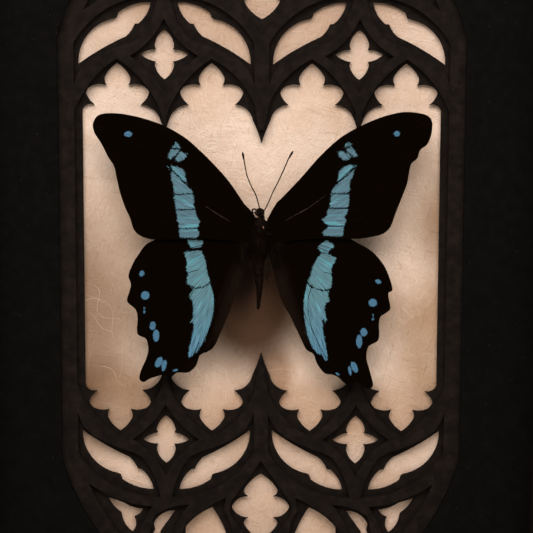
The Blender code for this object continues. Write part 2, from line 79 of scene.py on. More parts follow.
def addPiece(name, parts, materials, replaces=(), smooth=True, values=None, weld=False):
    # parts are (points, face arrays, material number); values are attributes, one for each point
    points = np.concatenate([part[0].reshape(-1, 3) for part in parts])
    corners, sizes, looks, start = [], [], [], 0
    for part in parts:
        for faces in part[1]:
            corners.append((faces + start).ravel())
            sizes.append(np.full(len(faces), faces.shape[1]))
            looks.append(np.full(len(faces), part[2]))
        start += part[0].size // 3
    corners, sizes, looks = (np.concatenate(row) for row in (corners, sizes, looks))
    if weld:
        points, places = np.unique(np.round(points, 8), axis=0, return_inverse=True)
        corners = places.ravel()[corners]
    mesh = bpy.data.meshes.new(name)
    mesh.vertices.add(len(points))
    mesh.vertices.foreach_set("co", points.astype(np.float32).ravel())
    mesh.loops.add(len(corners))
    mesh.loops.foreach_set("vertex_index", corners.astype(np.int32))
    mesh.polygons.add(len(sizes))
    mesh.polygons.foreach_set("loop_start", (np.cumsum(sizes) - sizes).astype(np.int32))
    mesh.polygons.foreach_set("material_index", looks.astype(np.int32))
    mesh.polygons.foreach_set("use_smooth", np.full(len(sizes), smooth))
    mesh.update(calc_edges=True)
    for key, value in (values or {}).items():
        layer = mesh.attributes.new(key, "FLOAT" if value.ndim == 1 else "FLOAT_VECTOR", "POINT")
        layer.data.foreach_set("value" if value.ndim == 1 else "vector",
                               value.astype(np.float32).ravel())
    mesh.validate()
    for material in materials:
        mesh.materials.append(material)
    piece = bpy.data.objects.new(name, mesh)
    bpy.context.scene.collection.objects.link(piece)
    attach(piece, "root")
    if replaces:
        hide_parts(*replaces)
    return piece


def throughPoints(points, steps, closed=False):
    # Catmull-Rom curve: between two points, a cubic whose slopes come from the points either side
    points = np.asarray(points, float)
    if closed:
        padded = np.concatenate([points[-1:], points, points[:2]])
    else:
        padded = np.concatenate([2 * points[:1] - points[1:2], points,
                                 2 * points[-1:] - points[-2:-1]])
    a, b, c, d = (padded[k:len(padded) - 3 + k, None] for k in range(4))
    t = (np.arange(steps) / steps)[None, :, None]
    curve = (2 * b + (c - a) * t + (2 * a - 5 * b + 4 * c - d) * t ** 2
             + (3 * b - a - 3 * c + d) * t ** 3) / 2
    curve = curve.reshape(-1, points.shape[1])
    return curve if closed else np.concatenate([curve, points[-1:]])


def tubeAlong(path, radii, sides, depth, flat=1.0):
    # a ring carried along a path of (x, v):
    # point = path + radius (cos a sideways + flat sin a backwards)
    path = np.asarray(path, float)
    along = np.gradient(path, axis=0)
    along /= np.linalg.norm(along, axis=1, keepdims=True)
    angle = np.arange(sides) * 2 * np.pi / sides
    radii = np.broadcast_to(radii, len(path))[:, None]
    across = radii * np.cos(angle)
    back = np.broadcast_to(depth, len(path))[:, None] + flat * radii * np.sin(angle)
    rings = standing(path[:, :1] + along[:, 1:] * across, path[:, 1:] - along[:, :1] * across,
                     back)
    return cappedRings(rings.reshape(len(path), sides, 3))


def cappedRings(rings, flip=False):
    # skin of a row of rings, closed at each end by a fan to the ring's middle
    rows, sides = rings.shape[:2]
    points = np.concatenate([rings.reshape(-1, 3), rings[:1].mean(1), rings[-1:].mean(1)])
    faces = [gridFaces(rows, sides, True, flip),
             np.concatenate([fanFaces(rows * sides, 0, sides, not flip),
                             fanFaces(rows * sides + 1, (rows - 1) * sides, sides, flip)])]
    return points, faces


def softNoise(x, v, size, seed):
    # smooth random height from -1 to 1: random values on a lattice size mm apart, eased between
    lattice = np.random.default_rng(seed).uniform(-1, 1, (401, 401))
    across, up = np.clip(x / size + 200, 0, 399), np.clip(v / size + 200, 0, 399)
    i, k = across.astype(int), up.astype(int)
    s, t = across - i, up - k
    s, t = s * s * (3 - 2 * s), t * t * (3 - 2 * t)
    low = lattice[i, k] * (1 - s) + lattice[i + 1, k] * s
    high = lattice[i, k + 1] * (1 - s) + lattice[i + 1, k + 1] * s
    return low * (1 - t) + high * t


def nearestSide(x, v, starts, ends):
    # distance from each point to the nearest of a set of straight sides
    spot = np.stack([x, v], -1)[:, None]
    side = ends - starts
    t = np.clip(((spot - starts) * side).sum(-1) / np.maximum((side ** 2).sum(-1), 1e-9), 0, 1)
    return np.sqrt(((spot - starts - t[..., None] * side) ** 2).sum(-1)).min(1)


def insideDistance(x, v, loops):
    # distance to the nearest outline, positive inside one: a spot is inside where a line to its
    # right crosses an odd number of sides
    best = np.full(len(x), -9.0)
    for loop in loops:
        starts = np.asarray(loop, float)
        ends = np.roll(starts, -1, axis=0)
        away = nearestSide(x, v, starts, ends)
        rising = (starts[:, 1] > v[:, None]) != (ends[:, 1] > v[:, None])
        climb = ends[:, 1] - starts[:, 1]
        slope = (ends[:, 0] - starts[:, 0]) / np.where(climb == 0, 1e-9, climb)
        crossed = rising & (x[:, None] < starts[:, 0] + (v[:, None] - starts[:, 1]) * slope)
        best = np.maximum(best, np.where(crossed.sum(1) % 2 == 1, away, -away))
    return best


def colour(code):
    # sRGB hex to linear light
    parts = [int(code[k:k + 2], 16) / 255 for k in (0, 2, 4)]
    return (*(part / 12.92 if part <= 0.04045 else ((part + 0.055) / 1.055) ** 2.4
              for part in parts), 1.0)


def addNode(tree, kind, inputs=None, **settings):
    # one node with its settings; an input is a fixed value, or a socket to link from
    made = tree.nodes.new("ShaderNode" + kind)
    for key, value in settings.items():
        setattr(made, key, value)
    for key, value in (inputs or {}).items():
        if isinstance(value, bpy.types.NodeSocket):
            tree.links.new(value, made.inputs[key])
        else:
            made.inputs[key].default_value = value
    return made


def startMaterial(name, roughness, specular, metallic=0.0):
    # the material, its tree, its shader, and Object coordinates turned to millimetres
    made = bpy.data.materials.new(name)
    made.use_nodes = True
    tree = made.node_tree
    shader = tree.nodes["Principled BSDF"]
    shader.inputs["Roughness"].default_value = roughness
    shader.inputs["Specular IOR Level"].default_value = specular
    shader.inputs["Metallic"].default_value = metallic
    place = addNode(tree, "TexCoord").outputs["Object"]
    inMm = addNode(tree, "Mapping", {"Vector": place, "Scale": (1000, 1000, 1000)}).outputs[0]
    return made, tree, shader, inMm


# black mount card: solid-core card, rolled matte and laser cut, so the faces look like soft
# charcoal with short paper fibres and a little pale dust; the window's own sheet is the blackest, a
# darker card whose darkness is partly painted shade from the frame's walls
cardLook = {"black_mount_card": ("130e0b", "201813"), "shaded_black_velvet_card": ("060403", "0b0807"),
            "dust": "4a4038", "speckApart": 2.2, "speckEdge": (0.05, 0.025),
            "fibre": 0.6, "mottle": 2.2, "felt": 0.12}  # sizes in mm


def makeCard(name):
    # two tones mixed by a mottled noise, pale specks at cell centres, short fibres as relief
    card, tree, shader, place = startMaterial(name, 0.85, 0.07)
    mottle, fibre = (addNode(tree, "TexNoise", {"Vector": place, "Scale": 1 / cardLook[size],
                                                "Detail": detail})
                     for size, detail in (("mottle", 5), ("fibre", 3)))
    tone = addNode(tree, "MapRange", {"Value": mottle.outputs[0], "From Min": 0.35,
                                      "From Max": 0.7})
    base = addNode(tree, "Mix", {0: tone.outputs[0], 6: colour(cardLook[name][0]),
                                 7: colour(cardLook[name][1])}, data_type="RGBA")
    speck = addNode(tree, "TexVoronoi", {"Vector": place, "Scale": 1 / cardLook["speckApart"]})
    pale = addNode(tree, "MapRange", {"Value": speck.outputs["Distance"],
                                      "From Min": cardLook["speckEdge"][0],
                                      "From Max": cardLook["speckEdge"][1]})
    dusted = addNode(tree, "Mix", {0: pale.outputs[0], 6: base.outputs[2],
                                   7: colour(cardLook["dust"])}, data_type="RGBA")
    tree.links.new(dusted.outputs[2], shader.inputs["Base Color"])
    felt = addNode(tree, "Bump", {"Height": fibre.outputs[0], "Distance": cardLook["felt"] / 1000,
                                  "Strength": 0.9})
    tree.links.new(felt.outputs[0], shader.inputs["Normal"])
    return card


# handmade mulberry paper: long bast fibres pulled on a screen and dried, so it is creamy and
# cloudy, with tangled threads and soft creases
paperLook = {"base": "efd1bc", "cloud": "dcb89d", "thread": "f7e2cc", "thin": "c9a37f",
             "cloudSize": 14.0, "threadWide": 0.45, "threadLong": 7.0, "wanderSize": 9.0,
             "wander": 5.0, "grain": 0.15,  # sizes in mm
             # the threads' directions in degrees, and the tone of each
             "threads": ((20, "thread"), (75, "thin"), (128, "thread"), (165, "thin")),
             "paintedShadeEdge": (1.0, 0.38),  # where a patch of painted shade starts and is full, of its half size
             # patches of painted shade: middle x and v, half width, half height, tint in the
             # middle; the darkest is painted shade under and between the specimen's wings, the
             # others are painted shade beside the wings and towards the top and bottom
             "paintedShade": ((-3.0, -15.5, 21.0, 27.0, "544436"), (-56.0, -22.0, 29.0, 52.0, "aea296"),
                        (53.0, 6.0, 16.0, 22.0, "b8ac9e"), (50.0, -27.0, 18.0, 28.0, "ccc0b1"),
                        (-6.0, -6.0, 8.0, 17.0, "968b80"), (3.0, -35.0, 8.0, 12.0, "d2c4b6"),
                        (-40.0, -43.0, 19.0, 18.0, "d2c6b8"), (14.0, -46.0, 58.0, 13.0, "dfd3c7"),
                        (0.0, 92.0, 90.0, 66.0, "d1c7be"), (0.0, -95.0, 90.0, 56.0, "e4dcd5"))}


def makePaper():
    # cloudy cream, crossed by four directions of drawn-out noise as threads, then darkened by
    # patches of painted shade that fade with distance / half size
    paper, tree, shader, place = startMaterial("handmade_mulberry_paper", 0.92, 0.2)
    cloud = addNode(tree, "TexNoise", {"Vector": place, "Scale": 1 / paperLook["cloudSize"],
                                       "Detail": 6, "Roughness": 0.6})
    tone = addNode(tree, "MapRange", {"Value": cloud.outputs[0], "From Min": 0.35,
                                      "From Max": 0.72})
    shade = addNode(tree, "Mix", {0: tone.outputs[0], 6: colour(paperLook["base"]),
                                  7: colour(paperLook["cloud"])}, data_type="RGBA").outputs[2]
    height = cloud.outputs[0]
    wander = addNode(tree, "TexNoise", {"Vector": place, "Scale": 1 / paperLook["wanderSize"],
                                        "Detail": 2})
    for turn, code in paperLook["threads"]:
        bent = addNode(tree, "VectorMath", {0: wander.outputs["Color"],
                                            "Scale": paperLook["wander"]}, operation="SCALE")
        moved = addNode(tree, "VectorMath", {0: place, 1: bent.outputs[0]})
        lined = addNode(tree, "Mapping", {"Vector": moved.outputs[0],
                                          "Rotation": (0, math.radians(turn), 0)})
        drawn = addNode(tree, "Mapping", {"Vector": lined.outputs[0],
                                          "Scale": (1 / paperLook["threadWide"], 1.0,
                                                    1 / paperLook["threadLong"])})
        hair = addNode(tree, "TexNoise", {"Vector": drawn.outputs[0], "Scale": 1.0, "Detail": 2})
        line = addNode(tree, "MapRange", {"Value": hair.outputs[0], "From Min": 0.6,
                                          "From Max": 0.78, "To Max": 0.55})
        shade = addNode(tree, "Mix", {0: line.outputs[0], 6: shade, 7: colour(paperLook[code])},
                        data_type="RGBA").outputs[2]
        height = addNode(tree, "Math", {0: height, 1: hair.outputs[0]}, operation="ADD").outputs[0]
    # each patch multiplies painted shade into the paper, full in its middle and fading outwards
    for x, v, halfWide, halfHigh, tint in paperLook["paintedShade"]:
        near = addNode(tree, "Mapping", {"Vector": place, "Scale": (1 / halfWide, 0, 1 / halfHigh),
                                         "Location": (-x / halfWide, 0,
                                                      -(v + middleZ) / halfHigh)})
        away = addNode(tree, "VectorMath", {0: near.outputs[0]}, operation="LENGTH")
        shadeWeight = addNode(tree, "MapRange", {"Value": away.outputs["Value"],
                                            "From Min": paperLook["paintedShadeEdge"][0],
                                            "From Max": paperLook["paintedShadeEdge"][1]},
                         interpolation_type="SMOOTHSTEP")
        shade = addNode(tree, "Mix", {0: shadeWeight.outputs[0], 6: shade, 7: colour(tint)},
                        data_type="RGBA", blend_type="MULTIPLY").outputs[2]
    tree.links.new(shade, shader.inputs["Base Color"])
    grain = addNode(tree, "Bump", {"Height": height, "Distance": paperLook["grain"] / 1000,
                                   "Strength": 1.0})
    tree.links.new(grain.outputs[0], shader.inputs["Normal"])
    return paper


# butterfly wing scales: rows of overlapping pigment scales, matte black-brown with a sky-blue
# band; they lie along the veins, so everything is drawn out from the root and the band's edges
# are feathery. A real scale is 0.1 mm wide, too fine to show, so the streaks are three times that
wingLook = {"black": "080401", "brown": "120a05", "fore": "5f7d89", "middle": "668b93",
            "low": "58839c", "bright": "68aeb9", "spot": "4a7089", "bare": "1a110c",
            "streakWide": 0.32, "streakLong": 4.5, "patchWide": 3.5, "patchLong": 9.0,
            "fine": 0.35, "relief": 0.05,  # sizes in mm
            # heights between which the blue changes, mm from the window's middle
            "toMiddle": (6, -8), "toLow": (-12, -28),
            # how far the edge of each kind of mark is torn, as a share of the streaks' relief,
            # and how far inside its outline a mark is full, mm
            "torn": {"bare": 0.8, "band": 0.55, "spot": 0.25}, "feather": 0.75,
            "full": {"bare": 3.4, "band": 0.16, "spot": 0.16}}


def makeWingScales():
    # black streaks; over them each kind of mark, where its distance inside an outline plus
    # torn x streaks is above nought
    wing, tree, shader, place = startMaterial("wing_scales", 0.8, 0.0)
    grain = addNode(tree, "Attribute", attribute_name="grain").outputs["Vector"]
    drawn = addNode(tree, "Mapping", {"Vector": grain, "Scale": (1 / wingLook["streakWide"],
                                                               1 / wingLook["streakLong"], 1)})
    streak = addNode(tree, "TexNoise", {"Vector": drawn.outputs[0], "Scale": 1.0, "Detail": 4})
    fine = addNode(tree, "TexNoise", {"Vector": place, "Scale": 1 / wingLook["fine"], "Detail": 2})
    height = addNode(tree, "SeparateXYZ", {0: place}).outputs[2]
    upper, lower = (addNode(tree, "MapRange", {"Value": height, "From Min": middleZ + start,
                                               "From Max": middleZ + end, "To Max": most})
                    for (start, end), most in ((wingLook["toMiddle"], 1.0),
                                               (wingLook["toLow"], 0.85)))
    blue = addNode(tree, "Mix", {0: upper.outputs[0], 6: colour(wingLook["fore"]),
                                 7: colour(wingLook["middle"])}, data_type="RGBA")
    cell = addNode(tree, "Mapping", {"Vector": grain, "Scale": (1 / wingLook["patchWide"],
                                                               1 / wingLook["patchLong"], 1)})
    patch = addNode(tree, "TexNoise", {"Vector": cell.outputs[0], "Scale": 1.0, "Detail": 2})
    lit = addNode(tree, "MapRange", {"Value": patch.outputs[0], "From Min": 0.53, "From Max": 0.72,
                                     "To Max": 0.8})
    blue = addNode(tree, "Mix", {0: lit.outputs[0], 6: blue.outputs[2],
                                 7: colour(wingLook["bright"])}, data_type="RGBA")
    blue = addNode(tree, "Mix", {0: lower.outputs[0], 6: blue.outputs[2],
                                 7: colour(wingLook["low"])}, data_type="RGBA")
    streakDark = addNode(tree, "MapRange", {"Value": streak.outputs[0], "From Min": 0.25,
                                            "From Max": 0.75, "To Min": 0.3, "To Max": 1.35})
    blue = addNode(tree, "Mix", {0: 1.0, 6: blue.outputs[2], 7: streakDark.outputs[0]},
                   data_type="RGBA", blend_type="MULTIPLY")
    tone = addNode(tree, "MapRange", {"Value": streak.outputs[0], "From Min": 0.45,
                                      "From Max": 0.8, "To Max": 0.6})
    shade = addNode(tree, "Mix", {0: tone.outputs[0], 6: colour(wingLook["black"]),
                                  7: colour(wingLook["brown"])}, data_type="RGBA").outputs[2]
    rough = addNode(tree, "Math", {0: streak.outputs[0], 1: fine.outputs[0]}, operation="ADD")
    rough = addNode(tree, "MapRange", {"Value": rough.outputs[0], "From Min": 0.6, "From Max": 1.4,
                                       "To Min": -wingLook["feather"],
                                       "To Max": wingLook["feather"]})
    bare = addNode(tree, "Mix", {0: 1.0, 6: colour(wingLook["bare"]), 7: streakDark.outputs[0]},
                   data_type="RGBA", blend_type="MULTIPLY")
    for key, paint in (("bare", bare.outputs[2]), ("band", blue.outputs[2]),
                       ("spot", colour(wingLook["spot"]))):
        mark = addNode(tree, "Attribute", attribute_name=key).outputs["Fac"]
        torn = addNode(tree, "Math", {0: rough.outputs[0], 1: wingLook["torn"][key], 2: mark},
                       operation="MULTIPLY_ADD")
        edge = addNode(tree, "MapRange", {"Value": torn.outputs[0], "From Min": -0.12,
                                          "From Max": wingLook["full"][key]},
                       interpolation_type="SMOOTHSTEP")
        shade = addNode(tree, "Mix", {0: edge.outputs[0], 6: shade, 7: paint},
                        data_type="RGBA").outputs[2]
    tree.links.new(shade, shader.inputs["Base Color"])
    scales = addNode(tree, "Bump", {"Height": rough.outputs[0],
                                    "Distance": wingLook["relief"] / 1000, "Strength": 0.5})
    tree.links.new(scales.outputs[0], shader.inputs["Normal"])
    return wing


def makeTwoTone(name, roughness, specular, metallic, dark, light, size, bump):
    # one noise, stretched to its size on each axis, mixes two tones and sets gloss and relief
    made, tree, shader, place = startMaterial(name, roughness, specular, metallic)
    drawn = addNode(tree, "Mapping", {"Vector": place, "Scale": tuple(1 / side for side in size)})
    pattern = addNode(tree, "TexNoise", {"Vector": drawn.outputs[0], "Scale": 1.0, "Detail": 6,
                                         "Roughness": 0.62})
    tone = addNode(tree, "MapRange", {"Value": pattern.outputs[0], "From Min": 0.32,
                                      "From Max": 0.68})
    shade = addNode(tree, "Mix", {0: tone.outputs[0], 6: colour(dark), 7: colour(light)},
                    data_type="RGBA")
    tree.links.new(shade.outputs[2], shader.inputs["Base Color"])
    gloss = addNode(tree, "MapRange", {"Value": pattern.outputs[0], "To Min": roughness - 0.08,
                                       "To Max": min(roughness + 0.12, 1.0)})
    tree.links.new(gloss.outputs[0], shader.inputs["Roughness"])
    relief = addNode(tree, "Bump", {"Height": pattern.outputs[0], "Distance": bump / 1000,
                                    "Strength": 0.8})
    tree.links.new(relief.outputs[0], shader.inputs["Normal"])
    return made


# plain finishes of two tones: roughness, specular, metallic, dark and light tone, size of the
# pattern along x, depth and height in mm, relief in mm
finishes = {
    # ash stained black, wire-brushed and waxed: open grain along each rail, a shade lighter
    "stained_ash_across": (0.5, 0.4, 0.0, "0b0908", "1c1815", (28, 0.9, 0.9), 0.12),
    "stained_ash_upright": (0.5, 0.4, 0.0, "0b0908", "1c1815", (0.9, 0.9, 28), 0.12),
    # foam board: foamed polystyrene between papers, so it is flat and off-white
    "foam_board": (0.8, 0.3, 0.0, "dedbd2", "efece4", (3, 0.8, 3), 0.05),
    # hardboard: wood fibres hot-pressed with a screen behind, brown and mottled
    "hardboard": (0.72, 0.3, 0.0, "56391f", "7b5736", (0.7, 0.7, 0.7), 0.05),
    # cork, turned and blacked with ink, so its cells stay as soft pits; its black also stands in
    # for the shade under the body
    "ink_and_shade_black_cork": (0.9, 0.05, 0.0, "080504", "150f0a", (1.4, 1.4, 1.4), 0.2),
    # zinc-plated steel: pressed and tumbled, so it is softly bright with cloudy spangle
    "zinc_plated_steel": (0.34, 0.5, 1.0, "8f9092", "b9b8b2", (2.5, 2.5, 2.5), 0.01),
    # insect cuticle and hair: chitin, dark brown and slightly glossy, with hair that looks dusty
    # where it turns to the light
    "body_hair": (0.7, 0.02, 0.0, "060302", "1c110a", (1.5, 1.5, 1.5), 0.01),
    "body_cuticle": (0.55, 0.04, 0.0, "050201", "20130c", (0.9, 0.9, 0.45), 0.05),
    "wing_root_hair": (0.7, 0.02, 0.0, "0a0604", "20160f", (1.2, 1.2, 4), 0.01),
    "wing_vein": (0.7, 0.0, 0.0, "050302", "0c0705", (1.0, 1.0, 1.0), 0.01),
    "rubbed_vein": (0.6, 0.1, 0.0, "140d0a", "4d3f38", (1.2, 1.2, 1.2), 0.01),
    "antenna_horn": (0.55, 0.08, 0.0, "080403", "1a0f0a", (0.6, 0.6, 0.4), 0.02),
    "compound_eye": (0.25, 0.3, 0.0, "050302", "140c08", (0.25, 0.25, 0.25), 0.01),
    "coiled_tongue": (0.4, 0.2, 0.0, "0a0503", "24140d", (0.5, 0.5, 0.5), 0.01),
    # pale tone of a palp, also used as painted glints on the head and a leg
    "pale_palp_and_glint": (0.6, 0.2, 0.0, "4a3329", "b08672", (0.5, 0.5, 0.5), 0.01),
    # bast fibre from mulberry bark, cooked and beaten: cream, with a few left golden
    "bast_fibre": (0.8, 0.2, 0.0, "d9a77c", "fbe6cd", (9, 9, 9), 0.01),
    "golden_fibre": (0.7, 0.3, 0.0, "a9742f", "d7a24a", (9, 9, 9), 0.01)}
card, shadedVelvetCard = makeCard("black_mount_card"), makeCard("shaded_black_velvet_card")
paperSkin = makePaper()
wingSkin = makeWingScales()
skins = {name: makeTwoTone(name, *finish) for name, finish in finishes.items()}

hardware = [name for name in nodes if name.split("_")[0] in ("button", "screw", "nail", "sawtooth")]
for names, skin in (
        (("rail_top", "rail_bottom"), skins["stained_ash_across"]),
        (("rail_left", "rail_right"), skins["stained_ash_upright"]),
        (("spacer_left", "spacer_right", "spacer_top", "spacer_bottom"), card),
        (("foam_board",), skins["foam_board"]), (("back_board",), skins["hardboard"]),
        (hardware, skins["zinc_plated_steel"])):
    for name in names:
        nodes[name].material_slots[0].material = skin
print("materials made")


# window and tracery: an outline is a list of (x, v) or (x, v, rise), where rise is the height of
# the arc to the next point, above nought where it bulges to the left of the way along
windowShape = {
    "across": 8.0, "level": 38.9,  # where the heads' arcs are centred
    "half": 53.85, "arc": 64.2, "ribHalf": 49.65, "ribArc": 60.0, "foilHalf": 47.65,
    "pair": 25.8, "lancet": 12.5,  # middle of a pair of lancets, and of a lancet from that
    "arcStep": 0.015, "cutEdge": 0.11,
    "lower": 1.028}  # the lower half is this much taller than the upper
pairX = windowShape["pair"]
outerX, innerX = -pairX - windowShape["lancet"], -pairX + windowShape["lancet"]


def withRises(path):
    # a point with no rise is given a rise of nought
    return [(*point, 0.0)[:3] for point in path]


def facets(path):
    # each arc becomes equal chords; radius = (half chord^2 + rise^2) / (2 rise)
    path = withRises(path)
    points = []
    for start, end in zip(path, path[1:] + path[:1]):
        rise = start[2]
        count = max(1, math.ceil(math.sqrt(abs(rise) / windowShape["arcStep"])))
        first, last = np.array(start[:2]), np.array(end[:2])
        t = np.arange(count)[:, None] / count
        if count == 1:
            points.append(first[None])
            continue
        chord = np.linalg.norm(last - first)
        along = (last - first) / chord
        left = np.array([-along[1], along[0]]) * math.copysign(1.0, rise)
        radius = (chord ** 2 / 4 + rise ** 2) / (2 * abs(rise))
        halfTurn = math.asin(chord / 2 / radius)
        turn = halfTurn * (2 * t - 1)
        points.append(first + along * (chord / 2 + radius * np.sin(turn))
                      + left * radius * (np.cos(turn) - math.cos(halfTurn)))
    loop = np.concatenate(points)
    following = np.roll(loop, -1, axis=0)
    twiceArea = (loop[:, 0] * following[:, 1] - following[:, 0] * loop[:, 1]).sum()
    return loop if twiceArea > 0 else loop[::-1]


def mirrorX(path):
    # x turned to -x, and every arc bulges the other way
    return [(-x, v, -rise) for x, v, rise in withRises(path)]


def mirrorV(path):
    # v turned to -v times the lower half's stretch
    return [(x, -v * windowShape["lower"], -rise) for x, v, rise in withRises(path)]


def shifted(path, x):
    # every point moved sideways by x
    return [(point[0] + x, *point[1:]) for point in path]


def backwards(path):
    # the same outline from its other end, so each rise moves to its arc's other point
    path = withRises(path)
    rises = [-point[2] for point in path[-2::-1]] + [0.0]
    return [(x, v, rise) for (x, v, _), rise in zip(path[::-1], rises)]


def joined(*paths):
    # paths end to end, where each ends on the next one's first point
    chain = []
    for path in paths[:-1]:
        chain += path[:-1]
    return withRises(chain + paths[-1])


def symmetric(half):
    # a half from top to bottom, closed by its mirror image
    return joined(half, backwards(mirrorX(half)))[:-1]


def onHead(x, radius):
    # v = level + sqrt(radius^2 - distance from the arc's centre^2)
    return (x, windowShape["level"] + math.sqrt(radius ** 2 - (windowShape["across"] - x) ** 2))


def headArc(xFrom, xTo, radius):
    # arc of the head between two x: rise = radius - sqrt(radius^2 - chord^2 / 4)
    start, end = onHead(xFrom, radius), onHead(xTo, radius)
    rise = radius - math.sqrt(radius ** 2 - math.dist(start, end) ** 2 / 4)
    return [(*start, math.copysign(rise, xTo - xFrom)), end]


def bothEnds(quarter):
    # the left upper quarter, mirrored to the right and then downwards
    top = joined(quarter, backwards(mirrorX(quarter)))
    return top + backwards(mirrorV(top))


def layOut(middleOfPair, sideOfPair, middle, *sides):
    # every opening of the head: one in the middle, three over each pair of lancets, a mirrored
    # pair of each other shape, then all of it again at the lower end
    top = [symmetric(middle)]
    for x in (-pairX, pairX):
        for shape in (symmetric(middleOfPair), sideOfPair, mirrorX(sideOfPair)):
            top.append(shifted(shape, x))
    for shape in sides:
        top += [shape, mirrorX(shape)]
    return top + [mirrorV(shape) for shape in top]


def ribOpenings():
    # the openings of the front sheet, between plain ribs
    ribHalf, ribArc = windowShape["ribHalf"], windowShape["ribArc"]
    quarter = [
        (-ribHalf, 36.4, 1.45), (outerX, 50.4, 1.45), (-pairX - 0.9, 36.4), (-pairX - 0.4, 32.5),
        (-pairX + 0.4, 32.5), (-pairX + 0.9, 36.4, 1.45), (innerX, 50.4, 1.58),
        (-1.9, 38.2), (-0.65, 31.6), (0.0, 31.6)]
    diamond = [(0.0, 41.65, 0.8), (9.05, 51.1, 1.1), (0.0, 60.95)]
    edge = pairX - ribHalf
    dagger = [
        (edge, 43.6), (edge, 54.5, 3.5), (-1.6, 66.9, 0.8), (-6.3, 56.0), (-8.8, 54.6, -0.3),
        (-18.1, 51.0, -1.15)]
    star = [(0.0, 56.9), (7.8, 67.7, -0.55), (7.8, 72.2), (0.0, 82.9)]
    spandrel = joined(
        [(-46.9, 63.1, 1.3), (-29.5, 69.4, 1.0), onHead(-34.2, ribArc)],
        headArc(-34.2, -46.9, ribArc))[:-1]
    small = joined(
        [(-19.5, 68.85, 0.8), (-29.05, 71.9, 0.3), onHead(-31.5, ribArc)],
        headArc(-31.5, -24.0, ribArc), [onHead(-24.0, ribArc), (-24.2, 77.0, -0.6)])
    large = joined(
        [(-9.5, 66.9, 0.4), (-19.3, 73.05, 0.5), (-21.5, 77.5), onHead(-21.6, ribArc)],
        headArc(-21.6, -1.3, ribArc),
        [onHead(-1.3, ribArc), (-1.3, 86.0, 0.3), (-7.8, 76.8, 0.5), (-10.1, 70.5)])
    return [bothEnds(quarter)] + layOut(diamond, dagger, star, spandrel, small, large)


def foilOpenings():
    # the openings of the sheet behind, smaller and with lobes and cusps
    lobes = [
        (0.0, 49.2, 0.35), (3.35, 45.6, 0.25), (2.9, 43.35, 0.3), (6.5, 43.3, 0.35),
        (8.4, 41.4, 0.36), (6.15, 38.25)]
    lancet = joined(backwards(mirrorX(lobes)), lobes)
    pendant = [(-windowShape["lancet"] + 6.15, 38.25, 0.95), (-1.3, 34.6, 0.1), (0.0, 30.3)]
    quarter = joined(
        [(-windowShape["foilHalf"], 36.8, 0.75), (outerX - 6.15, 38.25)],
        shifted(lancet, outerX),
        shifted(joined(pendant, backwards(mirrorX(pendant))), -pairX),
        shifted(lancet, innerX),
        [(innerX + 6.15, 38.25, 1.15), (-2.35, 34.1, 0.15), (0.0, 27.9)])
    foil = [
        (0.0, 44.95, -0.4), (2.45, 48.2, -0.25), (2.2, 49.6, -0.35), (6.4, 51.55, -0.35),
        (2.2, 52.8, -0.25), (2.4, 54.8, -0.4), (0.0, 58.0)]
    dagger = [
        (-22.8, 48.9, 0.4), (-10.2, 56.2, -0.2), (-8.1, 58.8), (-7.8, 59.5), (-6.8, 59.6, -0.6),
        (-3.5, 65.2, -0.75), (-12.1, 62.5), (-12.5, 61.2), (-13.2, 60.85, -2.9)]
    star = [
        (0.0, 60.8, -0.5), (4.6, 65.2, -0.4), (3.5, 67.0, -0.9), (7.9, 69.95, -0.9),
        (3.5, 72.9, -0.4), (4.6, 74.7, -0.5), (0.0, 79.1)]
    spandrel = [
        (-41.9, 67.3), (-37.6, 68.7, 0.4), (-32.2, 70.5, -0.4), (-34.6, 72.6, -0.7),
        (-35.2, 76.9, -0.7), (-38.2, 71.6, -0.4)]
    small = [
        (-23.3, 70.9, 1.15), (-29.4, 74.6), (-29.0, 76.2, 0.5), (-29.9, 82.0, 0.6),
        (-25.6, 87.2, 0.4), (-27.6, 76.8)]
    large = [
        (-13.2, 69.95, 0.6), (-20.6, 75.4), (-20.6, 82.5), (-18.6, 84.5, 0.8), (-17.5, 90.6, 0.5),
        (-3.2, 95.3), (-3.0, 88.5), (-6.5, 84.5, 0.6), (-9.3, 77.5, 0.3)]
    return [bothEnds(quarter)] + layOut(foil, dagger, star, spandrel, small, large)


def cutSheet(name, outline, holes):
    # an eased cut edge is carried round each outline; the flat faces span what lies between
    front, back = depthsOf(name)
    edge = windowShape["cutEdge"]
    bend = edge * np.array([1.0, 0.3, 0.0, 0.0, 0.3, 1.0])
    level = np.array([front, front + 0.3 * edge, front + edge,
                      back - edge, back - 0.3 * edge, back])
    parts, rims = [], []
    for number, loop in enumerate([outline] + holes):
        along = np.roll(loop, -1, axis=0) - loop
        along /= np.linalg.norm(along, axis=1, keepdims=True)
        before = np.roll(along, 1, axis=0)
        mid = along + before
        mid /= np.maximum((mid ** 2).sum(1, keepdims=True) / 2, 0.35)  # mitre, held back at cusps
        inwards = np.stack([-mid[:, 1], mid[:, 0]], -1) * (1 if number == 0 else -1)
        # single precision, as the triangulation returns them, so that the rims weld
        spots = (loop + bend[:, None, None] * inwards).astype(np.float32).astype(float)
        points = standing(spots[..., 0], spots[..., 1], level[:, None])
        parts.append((points, [gridFaces(len(bend), len(loop), True, number == 0)], 0))
        rims.append(spots[0])
    corners = [Vector(spot) for rim in rims for spot in rim]
    counts = iter(range(len(corners)))
    rings = [[next(counts) for _ in rim] for rim in rims]
    spots, _, cells, _, _, sources = delaunay_2d_cdt(corners, [], rings, 1, 1e-7, True)
    kept = np.array([cell for cell, source in zip(cells, sources) if source == [0]])
    spots = np.array([tuple(spot) for spot in spots])
    for depth, order in ((front, 1), (back, -1)):
        parts.append((standing(spots[:, 0], spots[:, 1], depth), [kept[:, ::order]], 0))
    # the window's sheet takes the blackest card, partly painted shade
    look = shadedVelvetCard if name == "window_panel" else card
    addPiece(name.replace("_", "_cut_", 1), parts, [look], [name], smooth=False,
             weld=True)


